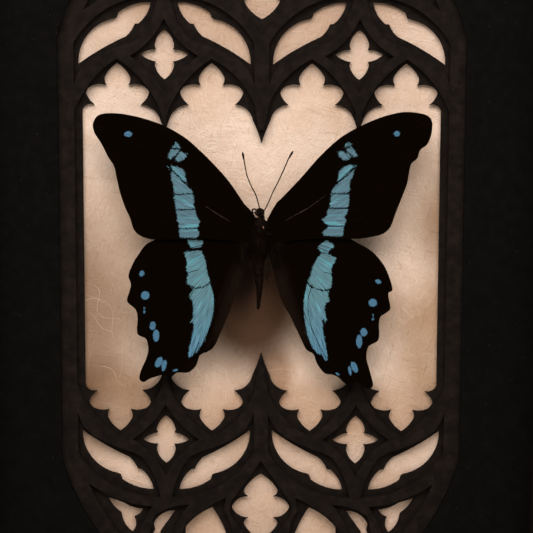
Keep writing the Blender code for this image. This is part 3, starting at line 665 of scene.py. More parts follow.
panelHigh = np.array(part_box("window_panel")[1]) * 1000
sheetHalfX, sheetHalfV = panelHigh[0], panelHigh[2] - middleZ
sheet = np.array([(-sheetHalfX, -sheetHalfV), (sheetHalfX, -sheetHalfV),
                  (sheetHalfX, sheetHalfV), (-sheetHalfX, sheetHalfV)])
headLeft = headArc(-windowShape["half"], 0.0, windowShape["arc"])
headTop = joined(headLeft, backwards(mirrorX(headLeft)))
cutSheet("window_panel", sheet, [facets(headTop + backwards(mirrorV(headTop)))])
cutSheet("tracery_ribs", sheet, [facets(shape) for shape in ribOpenings()])
cutSheet("tracery_foils", sheet, [facets(shape) for shape in foilOpenings()])
print("window and tracery cut")


# handmade sheet: heights and sizes of its swells, creases and crinkles in mm
paper = {"spacing": 0.95, "thick": 0.12, "stand": 0.12, "swell": 0.10, "swellSize": 17.0,
         "crease": 0.18, "creaseSize": 8.5, "crinkle": 0.05, "crinkleSize": 3.4}
paperFront = depthsOf("paper_sheet")[0]


def paperDepth(x, v):
    # flat sheet less its relief: broad swells, and creases where a noise turns back on itself,
    # fold = 1 - 2 |noise|, the larger ones as fold |fold|
    swell = softNoise(x, v, paper["swellSize"], 1)
    crease = 1 - 2 * np.abs(softNoise(x + 3 * softNoise(x, v, 12, 9), v, paper["creaseSize"], 2))
    crinkle = 1 - 2 * np.abs(softNoise(x, v + 2 * softNoise(x, v, 7, 8), paper["crinkleSize"], 3))
    relief = (paper["swell"] * swell + paper["crease"] * crease * np.abs(crease)
              + paper["crinkle"] * crinkle)
    return paperFront + paper["stand"] - relief


def makeSheetOfPaper():
    # a grid over the whole sheet at the paper's depth, given its thickness backwards
    across = np.linspace(-sheetHalfX, sheetHalfX, round(2 * sheetHalfX / paper["spacing"]))
    up = np.linspace(-sheetHalfV, sheetHalfV, round(2 * sheetHalfV / paper["spacing"]))
    x, v = np.meshgrid(across, up)
    points = standing(x, v, paperDepth(x, v))
    piece = addPiece("paper_leaf", [(points, [gridFaces(*x.shape)], 0)], [paperSkin],
                     ["paper_sheet"])
    solid = piece.modifiers.new("thickness", "SOLIDIFY")
    solid.thickness = paper["thick"] / 1000
    solid.offset = -1


makeSheetOfPaper()
print("paper laid")


def strands(root, aim, droop, length, radius, steps=4):
    # hairs: point = root + length (t aim + t^2 droop), in a triangle of shrinking radius
    t = np.linspace(0, 0.86, steps)[None, :, None]
    aim = aim / np.linalg.norm(aim, axis=1, keepdims=True)
    middle = root[:, None] + length[:, None, None] * (t * aim[:, None] + t ** 2 * droop[:, None])
    side = np.cross(aim, aim[:, [2, 0, 1]] + 0.01)
    side /= np.linalg.norm(side, axis=1, keepdims=True)
    other = np.cross(aim, side)
    angle = np.arange(3) * 2 * np.pi / 3
    spoke = (np.cos(angle)[:, None] * side[:, None] + np.sin(angle)[:, None] * other[:, None])
    thin = radius[:, None, None, None] * (1 - 0.8 * t[..., None])
    rings = middle[:, :, None] + spoke[:, None] * thin
    tip = root + length[:, None] * (aim + droop)
    points = np.concatenate([rings.reshape(len(root), -1, 3), tip[:, None]], axis=1)
    start = np.arange(len(root))[:, None, None] * points.shape[1]
    quads = (gridFaces(steps, 3, True) + start).reshape(-1, 4)
    ends = np.concatenate([fanFaces(steps * 3, steps * 3 - 3, 3), [[2, 1, 0]]])
    return points / 1000, [quads, (ends + start).reshape(-1, 3)]


# loose fibres on the paper: seed, number, shortest and longest, radius, all over a half size in mm
fibres = {"bast_fibre": (11, 130, (6, 22), 0.030), "golden_fibre": (12, 20, (3, 11), 0.05),
          "halfX": 66, "halfV": 112, "steps": 22, "sides": 4}


def fibreTangle(seed, count, reach, wide):
    # threads that wander over the paper: heading = a random start + a steady turn + a slow sine
    # turn, and each point is the one before plus a step along it
    rng = np.random.default_rng(seed)
    steps, sides, halfX, halfV = (fibres[key] for key in ("steps", "sides", "halfX", "halfV"))
    length = rng.uniform(*reach, count)[:, None]
    t = np.linspace(0, 1, steps)[None]
    heading = (rng.uniform(0, 2 * np.pi, (count, 1)) + rng.uniform(-1.3, 1.3, (count, 1)) * t
               + rng.uniform(0.2, 0.9, (count, 1)) * np.sin(rng.uniform(4, 11, (count, 1)) * t))
    x = rng.uniform(-halfX, halfX, (count, 1)) + np.cumsum(np.cos(heading), 1) * length / steps
    v = rng.uniform(-halfV, halfV, (count, 1)) + np.cumsum(np.sin(heading), 1) * length / steps
    x, v = np.clip(x, -75, 75), np.clip(v, -126, 126)  # kept on the sheet
    radius = wide * rng.uniform(0.6, 1.3, (count, 1)) * np.sqrt(np.sin(np.pi * (0.04 + 0.92 * t)))
    angle = np.arange(sides) * 2 * np.pi / sides
    across = radius[..., None] * np.cos(angle)
    rings = standing(x[..., None] - np.sin(heading)[..., None] * across,
                     v[..., None] + np.cos(heading)[..., None] * across,
                     paperDepth(x, v)[..., None] + 0.7 * radius[..., None] * np.sin(angle))
    start = np.arange(count)[:, None, None] * steps * sides
    quads = (gridFaces(steps, sides, True, True) + start).reshape(-1, 4)
    caps = np.array([[0, 1, 2, 3], [4 * steps - 1, 4 * steps - 2, 4 * steps - 3, 4 * steps - 4]])
    return rings, [quads, (caps + start).reshape(-1, 4)]


kinds = ("bast_fibre", "golden_fibre")
addPiece("paper_fibres", [(*fibreTangle(*fibres[kind]), look) for look, kind in enumerate(kinds)],
         [skins[kind] for kind in kinds])
print("paper fibres laid")


# wings: each outline runs from the shoulder out along the leading edge and back; marks in mm
wings = {"thick": 0.12, "around": 14, "rows": 84, "wave": 0.16, "waveSize": 13.0,
         "sag": 0.12, "sagWide": 1.4, "veinWide": 0.11, "rubbedWide": 0.09, "veinInset": 0.3}
foreLeft = [
    (-1.8, 9.4), (-3.2, 11.2), (-4.8, 13.0), (-8.3, 18.2), (-12.2, 22.7), (-16.2, 26.7),
    (-20.1, 30.1), (-25.3, 33.1), (-30.5, 35.0), (-35.7, 36.2), (-39.7, 36.5), (-42.3, 36.1),
    (-43.6, 34.9), (-44.1, 33.3), (-43.6, 31.2), (-41.8, 28.3), (-40.3, 25.2), (-38.7, 22.6),
    (-38.0, 19.4), (-37.2, 15.8), (-35.9, 11.8), (-34.6, 8.9), (-33.6, 5.8), (-32.0, 4.2),
    (-29.9, 3.4),
    (-27.0, 3.1), (-15.0, 3.3), (-2.0, 2.6), (-1.5, 6.5)]
foreRight = [
    (1.7, 8.7), (3.7, 12.3), (4.2, 13.1), (5.4, 14.2), (10.2, 19.3), (15.4, 25.3),
    (20.6, 30.1), (25.8, 33.2), (31.0, 35.5), (36.2, 36.9), (40.1, 36.9), (43.3, 36.1),
    (44.6, 34.3), (44.4, 31.2), (43.4, 28.6), (41.6, 27.1), (40.8, 24.9), (39.3, 23.4),
    (38.6, 20.2), (38.3, 18.4),
    (37.3, 15.5), (36.3, 12.9), (35.3, 10.2), (34.3, 7.3), (33.0, 5.5), (30.9, 4.4),
    (26.7, 3.6), (23.5, 3.4), (14.0, 3.4), (2.0, 2.6), (1.2, 6.5)]
hindLeft = [
    (-1.9, 5.0), (-14.0, 6.2), (-23.5, 5.2), (-28.2, 2.9), (-30.6, 1.6), (-32.4, -0.8),
    (-34.0, -3.4), (-35.2, -6.6), (-34.6, -9.0), (-35.0, -10.9), (-35.6, -13.6), (-33.5, -15.7),
    (-32.9, -17.9), (-33.1, -21.1), (-32.7, -22.7), (-30.7, -23.8), (-30.1, -26.5),
    (-30.7, -29.2), (-32.1, -32.4), (-32.5, -34.6), (-31.4, -35.5), (-29.7, -34.6),
    (-27.6, -33.9), (-25.7, -33.5), (-24.3, -34.4), (-22.5, -33.0), (-19.5, -32.9),
    (-17.4, -31.1), (-16.4, -28.3), (-13.9, -27.1), (-12.3, -25.5), (-10.4, -21.2),
    (-8.3, -16.1), (-5.6, -8.4), (-3.8, -4.1), (-2.6, -1.0), (-1.9, 2.0)]
hindRight = [
    (1.8, 5.0), (14.0, 6.2), (22.2, 3.8), (25.7, 2.1), (28.9, 0.3), (31.6, -2.4), (33.5, -5.6),
    (34.9, -10.1), (33.8, -11.4), (34.4, -15.2), (33.3, -16.5), (31.8, -17.6), (31.4, -19.7),
    (31.3, -23.8), (28.7, -25.7), (28.2, -28.7), (29.0, -31.9), (30.0, -35.7), (29.6, -37.0),
    (28.0, -36.8), (26.1, -35.4), (24.2, -35.2), (22.9, -36.0), (20.7, -34.1), (19.1, -33.4),
    (17.0, -33.0), (15.1, -30.6), (14.0, -27.9), (12.1, -26.6), (10.5, -23.4), (7.8, -17.7),
    (5.6, -13.7), (4.0, -8.6), (2.8, -4.1), (2.0, -1.0), (1.7, 2.0)]
bands = {
    "foreLeft": [
        [(-22.4, 28.9), (-21.1, 27.3), (-23.7, 27.4)],
        [(-23.8, 27.0), (-21.3, 26.9), (-22.7, 25.4), (-24.0, 24.4), (-24.6, 24.8)],
        [(-21.2, 26.4), (-19.3, 25.9), (-19.8, 25.1), (-20.6, 24.1), (-21.9, 23.8), (-22.7, 24.2),
         (-22.1, 25.4)],
        [(-24.7, 22.7), (-24.4, 22.6), (-24.1, 21.6)],
        [(-23.8, 22.7), (-22.2, 22.5), (-20.9, 21.8), (-20.0, 20.8), (-20.1, 19.9), (-19.6, 18.0),
         (-19.3, 17.4), (-20.1, 18.3), (-21.7, 20.0), (-23.3, 21.6)],
        [(-23.8, 20.9), (-23.3, 21.1), (-21.7, 19.6), (-20.1, 17.8), (-18.3, 16.2), (-18.1, 15.4),
         (-23.0, 15.2), (-23.3, 18.1), (-23.7, 19.1)],
        [(-23.0, 14.9), (-18.0, 15.2), (-17.8, 13.3), (-18.0, 12.3), (-17.5, 11.2), (-22.5, 11.2),
         (-23.0, 13.9)],
        [(-22.5, 10.9), (-17.5, 11.0), (-17.2, 9.6), (-17.0, 9.1), (-16.2, 8.1), (-16.5, 6.7),
         (-17.0, 6.2), (-21.7, 6.2), (-21.8, 7.5), (-22.4, 8.3), (-22.0, 9.1), (-22.4, 10.2)],
        [(-21.7, 5.8), (-17.0, 6.0), (-16.4, 4.9), (-16.5, 4.1), (-17.3, 3.5), (-21.5, 3.7),
         (-21.6, 4.9)]],
    "foreRight": [
        [(23.0, 29.1), (23.8, 28.5), (23.4, 28.0), (21.8, 27.6), (21.7, 28.1)],
        [(21.9, 27.4), (23.8, 27.8), (24.4, 26.9), (25.2, 25.5), (24.3, 25.1), (23.5, 25.9),
         (22.5, 26.7)],
        [(20.0, 26.4), (20.6, 26.8), (21.7, 26.5), (23.3, 25.4), (23.2, 24.6), (22.2, 24.2),
         (20.9, 24.8), (20.3, 25.6)],
        [(24.7, 23.2), (25.0, 22.8), (24.7, 22.4), (24.5, 22.8)],
        [(20.4, 21.2), (21.5, 22.5), (23.0, 23.1), (24.1, 23.0), (24.2, 22.5), (23.1, 21.4),
         (21.0, 19.2), (19.9, 18.6), (20.2, 19.6)],
        [(24.4, 22.0), (24.1, 20.2), (23.3, 19.1), (23.1, 15.7), (18.4, 15.4), (18.6, 16.2),
         (19.4, 17.5), (21.0, 18.7)],
        [(18.4, 15.2), (23.1, 15.4), (23.2, 13.9), (22.9, 11.8), (17.9, 11.7), (18.3, 13.3)],
        [(17.8, 11.4), (22.7, 11.4), (22.6, 10.2), (21.9, 9.2), (22.4, 8.3), (21.9, 7.0),
         (17.7, 6.9), (16.9, 7.5), (16.1, 8.4), (17.4, 9.6), (17.3, 10.7)],
        [(17.7, 6.6), (21.8, 6.7), (21.6, 4.9), (21.4, 4.1), (16.6, 4.2), (16.1, 5.1),
         (16.9, 5.8)]],
    "hindLeft": [
        [(-19.6, 3.0), (-15.6, 2.7), (-15.4, 2.0), (-16.2, 0.9), (-17.6, 0.7), (-18.7, 0.9),
         (-19.3, 2.0)],
        [(-20.4, -0.6), (-19.8, -0.2), (-15.8, -0.0), (-15.4, -1.1), (-14.7, -2.9), (-14.6, -4.7),
         (-14.1, -6.5), (-13.6, -8.3), (-14.9, -9.4), (-17.6, -9.9), (-19.6, -9.0), (-19.8, -7.8),
         (-19.4, -6.4), (-19.8, -5.3), (-20.0, -4.4), (-19.6, -3.8), (-19.8, -2.4), (-20.2, -1.3)],
        [(-18.9, -9.7), (-17.6, -10.2), (-15.4, -9.9), (-13.6, -8.7), (-12.9, -10.9),
         (-12.6, -13.1), (-12.5, -14.9), (-12.7, -16.7), (-13.3, -19.0), (-14.1, -21.6),
         (-15.2, -24.3), (-16.3, -26.1), (-17.6, -27.8), (-17.0, -26.1), (-16.5, -24.8),
         (-17.4, -26.6), (-18.5, -28.6), (-19.2, -28.8), (-19.4, -28.4), (-19.2, -26.1),
         (-18.7, -24.3), (-18.2, -22.0), (-17.9, -20.0), (-18.1, -18.9), (-18.9, -19.4),
         (-18.1, -17.6), (-18.1, -14.0), (-18.7, -12.9), (-19.1, -12.9), (-19.0, -11.8),
         (-18.0, -10.4)]],
    "hindRight": [
        [(15.0, 1.3), (17.2, 2.8), (18.8, 2.0), (19.3, 1.2), (18.1, 0.2), (17.7, -0.6),
         (15.7, -0.1), (15.3, 0.4)],
        [(14.8, -2.0), (16.0, -0.6), (17.9, -0.9), (19.9, -1.8), (19.5, -3.1), (18.8, -3.8),
         (18.6, -5.6), (18.8, -7.3), (18.7, -9.1), (18.6, -9.8), (17.1, -10.5), (15.8, -10.3),
         (13.6, -9.6), (12.4, -8.3), (13.1, -6.5), (13.7, -4.2), (14.6, -2.5)],
        [(12.2, -8.8), (13.6, -10.0), (15.8, -10.7), (17.1, -10.9), (18.2, -10.3), (18.0, -11.1),
         (17.8, -12.2), (18.3, -13.6), (17.4, -13.8), (16.9, -14.9), (17.1, -16.7), (17.4, -18.9),
         (17.2, -19.4), (16.5, -18.5), (16.3, -18.9), (16.4, -20.7), (16.7, -22.5), (17.2, -24.7),
         (17.6, -27.0), (17.8, -29.3), (17.5, -29.7), (16.8, -29.0), (16.2, -27.5), (15.9, -28.0),
         (15.0, -27.7), (13.9, -26.1), (13.0, -24.3), (12.2, -22.1), (11.9, -19.9), (11.5, -17.6),
         (11.3, -15.8), (11.4, -13.6), (11.7, -11.4)]]}
# each spot: x, v, half width, half height, turn in degrees
spots = {
    "foreLeft": [(-34.9, 31.0, 1.07, 0.75, 0)],
    "foreRight": [(35.4, 31.3, 0.85, 0.75, 0)],
    "hindLeft": [
        (-31.7, -6.1, 0.64, 0.85, -25), (-30.8, -12.0, 1.12, 1.20, -20),
        (-31.1, -15.4, 0.24, 0.43, -10), (-31.1, -16.4, 0.27, 0.53, 10),
        (-28.9, -20.2, 0.80, 1.20, -10), (-28.0, -22.9, 0.88, 1.68, 0),
        (-27.3, -30.1, 0.93, 1.55, -30), (-25.9, -31.0, 0.67, 1.60, -10),
        (-22.9, -32.3, 0.72, 0.35, 10)],
    "hindRight": [
        (31.1, -8.1, 0.85, 0.59, -20), (29.7, -13.8, 1.15, 1.09, 0), (29.8, -17.1, 0.21, 0.32, 0),
        (29.8, -18.2, 0.32, 0.45, -20), (27.4, -21.8, 0.91, 1.17, 0), (26.2, -24.3, 0.85, 1.87, 0),
        (25.0, -31.3, 0.85, 1.60, 25), (23.8, -32.3, 0.45, 1.28, 8),
        (20.5, -33.2, 0.69, 0.32, -25)]}
# the inner margins are rubbed down to brown membrane
barePatches = {
    "hindRight": [
        [(-1.0, -2.4), (0.6, -8.9), (2.4, -14.6), (4.6, -19.2), (7.2, -25.0), (9.4, -29.5),
         (14.0, -25.2), (13.0, -20.6), (11.2, -15.8), (9.4, -10.5), (8.0, -4.5), (6.0, -1.6)]],
    "hindLeft": [
        [(0.5, -1.0), (-0.4, -4.9), (-2.3, -9.5), (-5.0, -17.3), (-7.1, -22.5), (-9.4, -28.2),
         (-14.3, -24.8), (-13.6, -19.8), (-12.4, -14.2), (-10.2, -7.0), (-7.6, -2.4)],
        [(-12.9, -19.3), (-10.4, -20.7), (-11.2, -23.4), (-12.8, -26.6), (-15.4, -27.4),
         (-15.1, -25.2), (-13.9, -22.0)],
        [(-20.0, -30.0), (-16.6, -28.9), (-17.4, -31.1), (-19.0, -32.6), (-20.6, -32.2)]]}
# veins of the left wings, which the right ones mirror, and the ones whose scales are rubbed off
foreVeins = [
    [(-3.3, 9.4), (-8.0, 17.3), (-15.9, 25.8), (-25.0, 32.3), (-35.5, 35.7), (-41.5, 35.6)],
    [(-3.4, 9.0), (-9.5, 17.2), (-17.0, 24.8), (-24.0, 30.3), (-31.0, 34.0)],
    [(-3.5, 8.7), (-9.8, 15.8), (-16.5, 22.6), (-26.0, 30.3), (-36.5, 35.3)],
    [(-26.0, 28.6), (-33.0, 32.2), (-43.0, 34.6)],
    [(-16.5, 22.6), (-21.2, 27.0), (-23.9, 27.2), (-26.0, 28.6), (-33.0, 30.6), (-43.2, 31.6)],
    [(-21.2, 27.0), (-22.5, 25.3), (-23.3, 24.0), (-24.1, 22.0)],
    [(-24.3, 23.4), (-27.0, 25.4), (-32.0, 27.2), (-41.5, 28.4)],
    [(-24.2, 22.7), (-32.0, 24.4), (-39.7, 24.8)],
    [(-3.6, 8.0), (-7.7, 9.2), (-13.6, 12.6), (-19.1, 17.0), (-24.1, 22.0), (-31.0, 21.4),
     (-38.2, 21.2)],
    [(-16.2, 14.6), (-18.1, 15.3), (-23.0, 15.05), (-30.0, 15.6), (-37.3, 17.0)],
    [(-11.5, 11.2), (-17.5, 11.1), (-22.5, 11.05), (-29.0, 11.2), (-35.6, 11.7)],
    [(-3.6, 5.4), (-10.0, 5.9), (-17.0, 6.1), (-21.7, 6.0), (-28.0, 5.9), (-33.3, 5.9)]]
rubbedVeins = {"foreLeft": [[(-14.8, 12.0), (-11.3, 9.7), (-8.1, 7.8)]],
               "foreRight": [[(6.2, 8.1), (9.6, 10.0), (13.0, 12.0), (16.9, 15.0)]]}
hindVeins = [
    [(-4.0, 3.6), (-14.0, 4.7), (-24.0, 3.2), (-31.0, 0.4)],
    [(-12.0, 2.4), (-20.0, 0.2), (-28.0, -3.2), (-34.7, -7.0)],
    [(-16.6, -5.1), (-19.4, -5.9), (-24.0, -7.4), (-30.0, -10.2), (-35.0, -13.2)],
    [(-19.8, -7.0), (-25.0, -11.5), (-32.6, -17.6)],
    [(-18.8, -9.0), (-25.0, -15.8), (-31.6, -22.6)],
    [(-17.6, -10.1), (-22.5, -18.5), (-30.2, -28.0)],
    [(-13.6, -8.6), (-12.5, -13.0), (-13.3, -19.4), (-16.8, -27.2), (-20.5, -30.6),
     (-24.6, -33.4)],
    [(-4.2, 1.5), (-8.0, -7.0), (-12.3, -18.0), (-17.4, -28.4), (-19.6, -32.4)],
    [(-4.0, 3.2), (-12.0, 2.4), (-16.5, 0.3), (-20.2, -0.6), (-20.1, -4.2), (-19.5, -9.0),
     (-17.6, -10.1), (-15.4, -9.9), (-13.6, -8.6), (-12.5, -6.2), (-9.0, -1.6), (-4.2, 2.4)]]


def wingDepth(x, v, middle, slope, dip):
    # flat wing rising outwards, with slow waves; veins stay up while the membrane sags between
    rise = middle - slope * np.abs(x) + wings["wave"] * softNoise(x, v, wings["waveSize"], 21)
    return rise + wings["sag"] * (1 - np.exp(-(dip / wings["sagWide"]) ** 2))


def spreadWing(name, key, outline, veins, root, middle, slope):
    # membrane: point = root + w (margin(u) - root), rays from the root to the margin, rows at
    # equal steps of w; each vein is a tube that tapers along its own line
    margin = throughPoints(outline, wings["around"], closed=True)
    turning = np.cumsum(np.linalg.norm(np.roll(margin, -1, axis=0) - margin, axis=1))
    w = np.linspace(0.03, 1.0, wings["rows"])[:, None]
    flatX = root[0] + w * (margin[:, 0] - root[0])
    flatV = root[1] + w * (margin[:, 1] - root[1])
    x = np.append(flatX.ravel(), root[0])
    v = np.append(flatV.ravel(), root[1])
    curves = [throughPoints(vein, 8) for vein in veins]  # kept where they are inside the margin
    curves = [curve[insideDistance(curve[:, 0], curve[:, 1], [margin]) > wings["veinInset"]]
              for curve in curves]
    starts = np.concatenate([curve[:-1] for curve in curves])
    ends = np.concatenate([curve[1:] for curve in curves])
    batch = 8000  # points at a time, to spare memory
    dip = np.concatenate([nearestSide(x[k:k + batch], v[k:k + batch], starts, ends)
                          for k in range(0, len(x), batch)])
    marks = []
    for sx, sv, halfWide, halfHigh, turn in spots[key]:
        angle = np.arange(14) * 2 * np.pi / 14
        c, s = math.cos(math.radians(turn)), math.sin(math.radians(turn))
        ox, ov = halfWide * np.cos(angle), halfHigh * np.sin(angle)
        marks.append(np.stack([sx + c * ox - s * ov, sv + s * ox + c * ov], -1))
    grain = np.stack([np.append(np.broadcast_to(turning, flatX.shape).ravel(), 0.0),
                      np.hypot(x - root[0], v - root[1]), np.zeros(len(x))], -1)
    values = {"band": insideDistance(x, v, bands[key]), "spot": insideDistance(x, v, marks),
              "bare": insideDistance(x, v, barePatches.get(key, [])), "grain": grain}
    following = np.roll(margin, -1, axis=0)
    area = (margin[:, 0] * following[:, 1] - following[:, 0] * margin[:, 1]).sum()
    count = len(margin)
    faces = [gridFaces(wings["rows"], count, True, area > 0),
             fanFaces(len(x) - 1, 0, count, area < 0)]
    piece = addPiece(name + "_scaled", [(standing(x, v, wingDepth(x, v, middle, slope, dip)),
                                         faces, 0)],
                     [wingSkin], [name], values=values)
    solid = piece.modifiers.new("thickness", "SOLIDIFY")
    solid.thickness = wings["thick"] / 1000
    solid.offset = 0
    tubes = [(curve, [1.0, 0.725, 0.45], wings["veinWide"], 0.02, 0.8, 0) for curve in curves]
    tubes += [(throughPoints(vein, 10), [1 / 3, 1.0, 1 / 3], wings["rubbedWide"], 0.08, 1.0, 1)
              for vein in rubbedVeins.get(key, [])]
    parts = []
    for curve, taper, wide, lift, flat, look in tubes:
        radii = wide * np.interp(np.linspace(0, 1, len(curve)), [0, 0.5, 1], taper)
        depth = wingDepth(curve[:, 0], curve[:, 1], middle, slope, 0.0) - lift
        parts.append((*tubeAlong(curve, radii, 6, depth, flat), look))
    addPiece(name + "_veins", parts, [skins["wing_vein"], skins["rubbed_vein"]])


def mirrored(veins, lift):
    # x turned to -x, and v raised by lift(v), since the two sides differ a little
    return [[(-x, v + lift(v)) for x, v in vein] for vein in veins]


spreadWing("forewing_left", "foreLeft", foreLeft, foreVeins, (-4.5, 6.3), 12.0, 0.045)
spreadWing("forewing_right", "foreRight", foreRight,
           mirrored(foreVeins, lambda v: 0.2 + 0.06 * max(0.0, 15.0 - v)), (4.5, 6.3), 12.0, 0.045)
spreadWing("hindwing_left", "hindLeft", hindLeft, hindVeins, (-7.0, 3.0), 12.8, 0.03)
spreadWing("hindwing_right", "hindRight", hindRight,
           mirrored(hindVeins, lambda v: -0.5 if v < 0 else 0.0), (7.0, 3.0), 12.8, 0.03)
print("wings spread")


# the body from the brow to the tip of the abdomen: v, x, half width, half depth, set back
body = {"depth": 12.2, "sides": 36, "rows": 150, "ring": 1.75, "pinch": 0.15, "waist": -1.5}
bodySections = np.array([
    (11.4, -0.4, 0.35, 0.4, 0.2), (11.0, -0.4, 0.8, 0.9, 0.2), (10.1, -0.45, 1.02, 1.25, 0.2),
    (9.2, -0.45, 1.02, 1.25, 0.2), (8.3, -0.4, 1.25, 1.5, 0.1), (7.2, -0.35, 1.75, 2.0, 0.0),
    (5.5, -0.3, 2.15, 2.4, 0.0), (2.5, -0.3, 2.3, 2.5, 0.0), (0.5, -0.4, 2.05, 2.3, 0.1),
    (-1.2, -0.6, 1.65, 1.9, 0.2), (-3.2, -0.7, 1.4, 1.7, 0.3), (-5.5, -0.7, 1.22, 1.5, 0.4),
    (-8.6, -0.5, 0.95, 1.2, 0.6), (-10.5, -0.5, 0.72, 0.9, 0.8), (-13.0, -0.6, 0.5, 0.6, 0.9),
    (-15.2, -0.75, 0.34, 0.4, 1.0), (-16.1, -0.8, 0.12, 0.15, 1.0)])


def bodySurface(v, angle):
    # ellipse round the body's line at height v; each ring of the abdomen is pinched in by
    # pinch ((1 + cos(2 pi v / ring)) / 2)^4
    order = np.argsort(bodySections[:, 0])
    table = bodySections[order]
    x, wide, deep, back = (np.interp(v, table[:, 0], table[:, k]) for k in range(1, 5))
    fold = (0.5 + 0.5 * np.cos(2 * np.pi * v / body["ring"])) ** 4
    ringed = 1 - body["pinch"] * (v < body["waist"]) * fold
    return standing(x + wide * ringed * np.cos(angle), v,
                    body["depth"] + back + deep * ringed * np.sin(angle)) * 1000


def ball(centre, radii, rows=14, sides=20):
    # ellipsoid by latitude and longitude, closed at both poles
    tilt = np.linspace(-1.45, 1.45, rows)[:, None]
    angle = np.arange(sides) * 2 * np.pi / sides
    rings = standing(centre[0] + radii[0] * np.cos(tilt) * np.cos(angle),
                     centre[1] + radii[1] * np.sin(tilt) + 0 * angle,
                     centre[2] + radii[2] * np.cos(tilt) * np.sin(angle))
    return cappedRings(rings)


def makeBody():
    # rings of the body's surface, ball eyes, a coil of radius 0.42 + turn / 60 for the tongue, and
    # tapered tubes for palps and legs: route, first and last radius, depth, finish
    angle = np.arange(body["sides"]) * 2 * np.pi / body["sides"]
    v = np.linspace(11.4, -16.1, body["rows"])[:, None]
    rings = bodySurface(v + 0 * angle, angle + 0 * v) / 1000
    parts = [(*cappedRings(rings, flip=True), 0)]
    for side in (-1, 1):
        parts.append((*ball((side * 0.8 - 0.45, 10.2, 11.5), (0.5, 0.68, 0.7)), 1))
    turn = np.linspace(0.4, 2 * np.pi * 1.45 + 0.4, 60)
    coil = (0.42 + turn / 60)[:, None] * np.stack([np.cos(turn), np.sin(turn)], -1)
    coil += (-1.87, 10.85)
    parts.append((*tubeAlong(coil, np.linspace(0.13, 0.19, len(coil)), 8, 10.6), 2))
    for route, thin, thick, depth, skin in (
            ([(-1.0, 9.1), (-1.45, 9.5), (-1.7, 10.0)], 0.26, 0.15, 10.7, 3),  # palps; the first is pale, partly a painted glint
            ([(0.2, 9.6), (0.45, 10.4), (0.45, 11.0)], 0.32, 0.14, 10.8, 0),
            ([(0.35, 7.0), (0.5, 6.7), (0.6, 6.3)], 0.06, 0.13, 9.9, 3),  # legs; the first is pale, its tone a painted glint
            ([(1.9, -0.4), (1.8, -2.0), (1.6, -4.6), (1.4, -7.4)], 0.17, 0.32, 11.0, 4),
            ([(-2.1, -0.6), (-2.3, -2.4), (-2.2, -4.4)], 0.14, 0.12, 11.6, 0),
            ([(0.9, 5.4), (1.9, 4.7), (2.6, 4.9)], 0.2, 0.1, 10.4, 0)):
        path = throughPoints(route, 8)
        parts.append((*tubeAlong(path, np.linspace(thin, thick, len(path)), 8, depth), skin))
    looks = ("body_cuticle", "compound_eye", "coiled_tongue", "pale_palp_and_glint", "antenna_horn")
    addPiece("body_shell", parts, [skins[look] for look in looks], ["body"])


def makeStage():
    # turned cork stage that holds the body off the paper: rings of radius carried straight back
    front, back = depthsOf("riser_block")
    angle = np.arange(32) * 2 * np.pi / 32
    radius = np.array([1.45, 1.65, 1.7, 1.6, 1.6, 1.7, 1.65, 1.5])[:, None]
    depth = np.linspace(front, back, len(radius))[:, None]
    rings = standing(radius * np.cos(angle) - 0.3, radius * np.sin(angle) + 3.0, depth + 0 * angle)
    addPiece("cork_stage", [(*cappedRings(rings, flip=True), 0)], [skins["ink_and_shade_black_cork"]],
             ["riser_block"])


# hair: number, lowest and highest v, shortest and longest, how far it sweeps down the body
hair = {"thorax": (2600, -1.5, 8.4, (0.8, 2.2), 1.3), "head": (500, 8.4, 11.2, (0.3, 0.8), 0.2),
        "abdomen": (1500, -15.4, -1.0, (0.3, 0.8), 2.6), "wingRoots": 620}


def makeBodyHair():
    # strands rooted on the body's surface, aimed outwards and down with a random turn, and long
    # ones combed over the wing roots
    rng = np.random.default_rng(31)
    groups = []
    for count, low, high, reach, sweep in (hair[key] for key in ("thorax", "head", "abdomen")):
        v, angle = rng.uniform(low, high, count), rng.uniform(0, 2 * np.pi, count)
        root = bodySurface(v, angle)
        outwards = np.stack([np.cos(angle), np.sin(angle), 0 * angle], -1)
        down = np.array([0.0, 0.0, -sweep])
        aim = outwards + down + rng.normal(0, 0.28, (count, 3))
        droop = -0.3 * outwards + rng.normal(0, 0.16, (count, 3))
        groups.append((*strands(root, aim, droop, rng.uniform(*reach, count),
                                rng.uniform(0.03, 0.06, count)), 0))
    count = hair["wingRoots"]
    side = rng.choice([-1.0, 1.0], count)
    x, v = side * rng.uniform(1.6, 5.2, count), rng.uniform(-3.5, 5.0, count)
    root = standing(x, v, 12.25 - 0.03 * np.abs(x)) * 1000
    aim = np.stack([side * rng.uniform(0.15, 0.9, count), rng.uniform(-0.12, 0.02, count),
                    -rng.uniform(0.6, 1.6, count)], -1)
    droop = rng.normal(0, 0.08, (count, 3)) * (1, 0.3, 1)
    groups.append((*strands(root, aim, droop, rng.uniform(1.6, 4.6, count),
                            rng.uniform(0.025, 0.05, count)), 1))
    addPiece("body_hair", groups, [skins["body_hair"], skins["wing_root_hair"]])


antenna = {"shaft": 0.15, "club": 0.14, "clubAt": 0.93, "clubLong": 0.075, "ring": 0.012,
           "rings": 300, "tipAt": 0.97, "tipLong": 0.03, "sides": 10,
           "left": [(-0.35, 10.9), (-1.34, 14.7), (-2.67, 17.4), (-3.85, 20.4), (-4.5, 23.8),
                    (-5.0, 26.4)],
           "right": [(0.4, 10.3), (1.66, 12.6), (3.0, 15.75), (4.67, 19.1), (6.0, 22.1),
                     (7.16, 24.75), (8.33, 26.7)]}


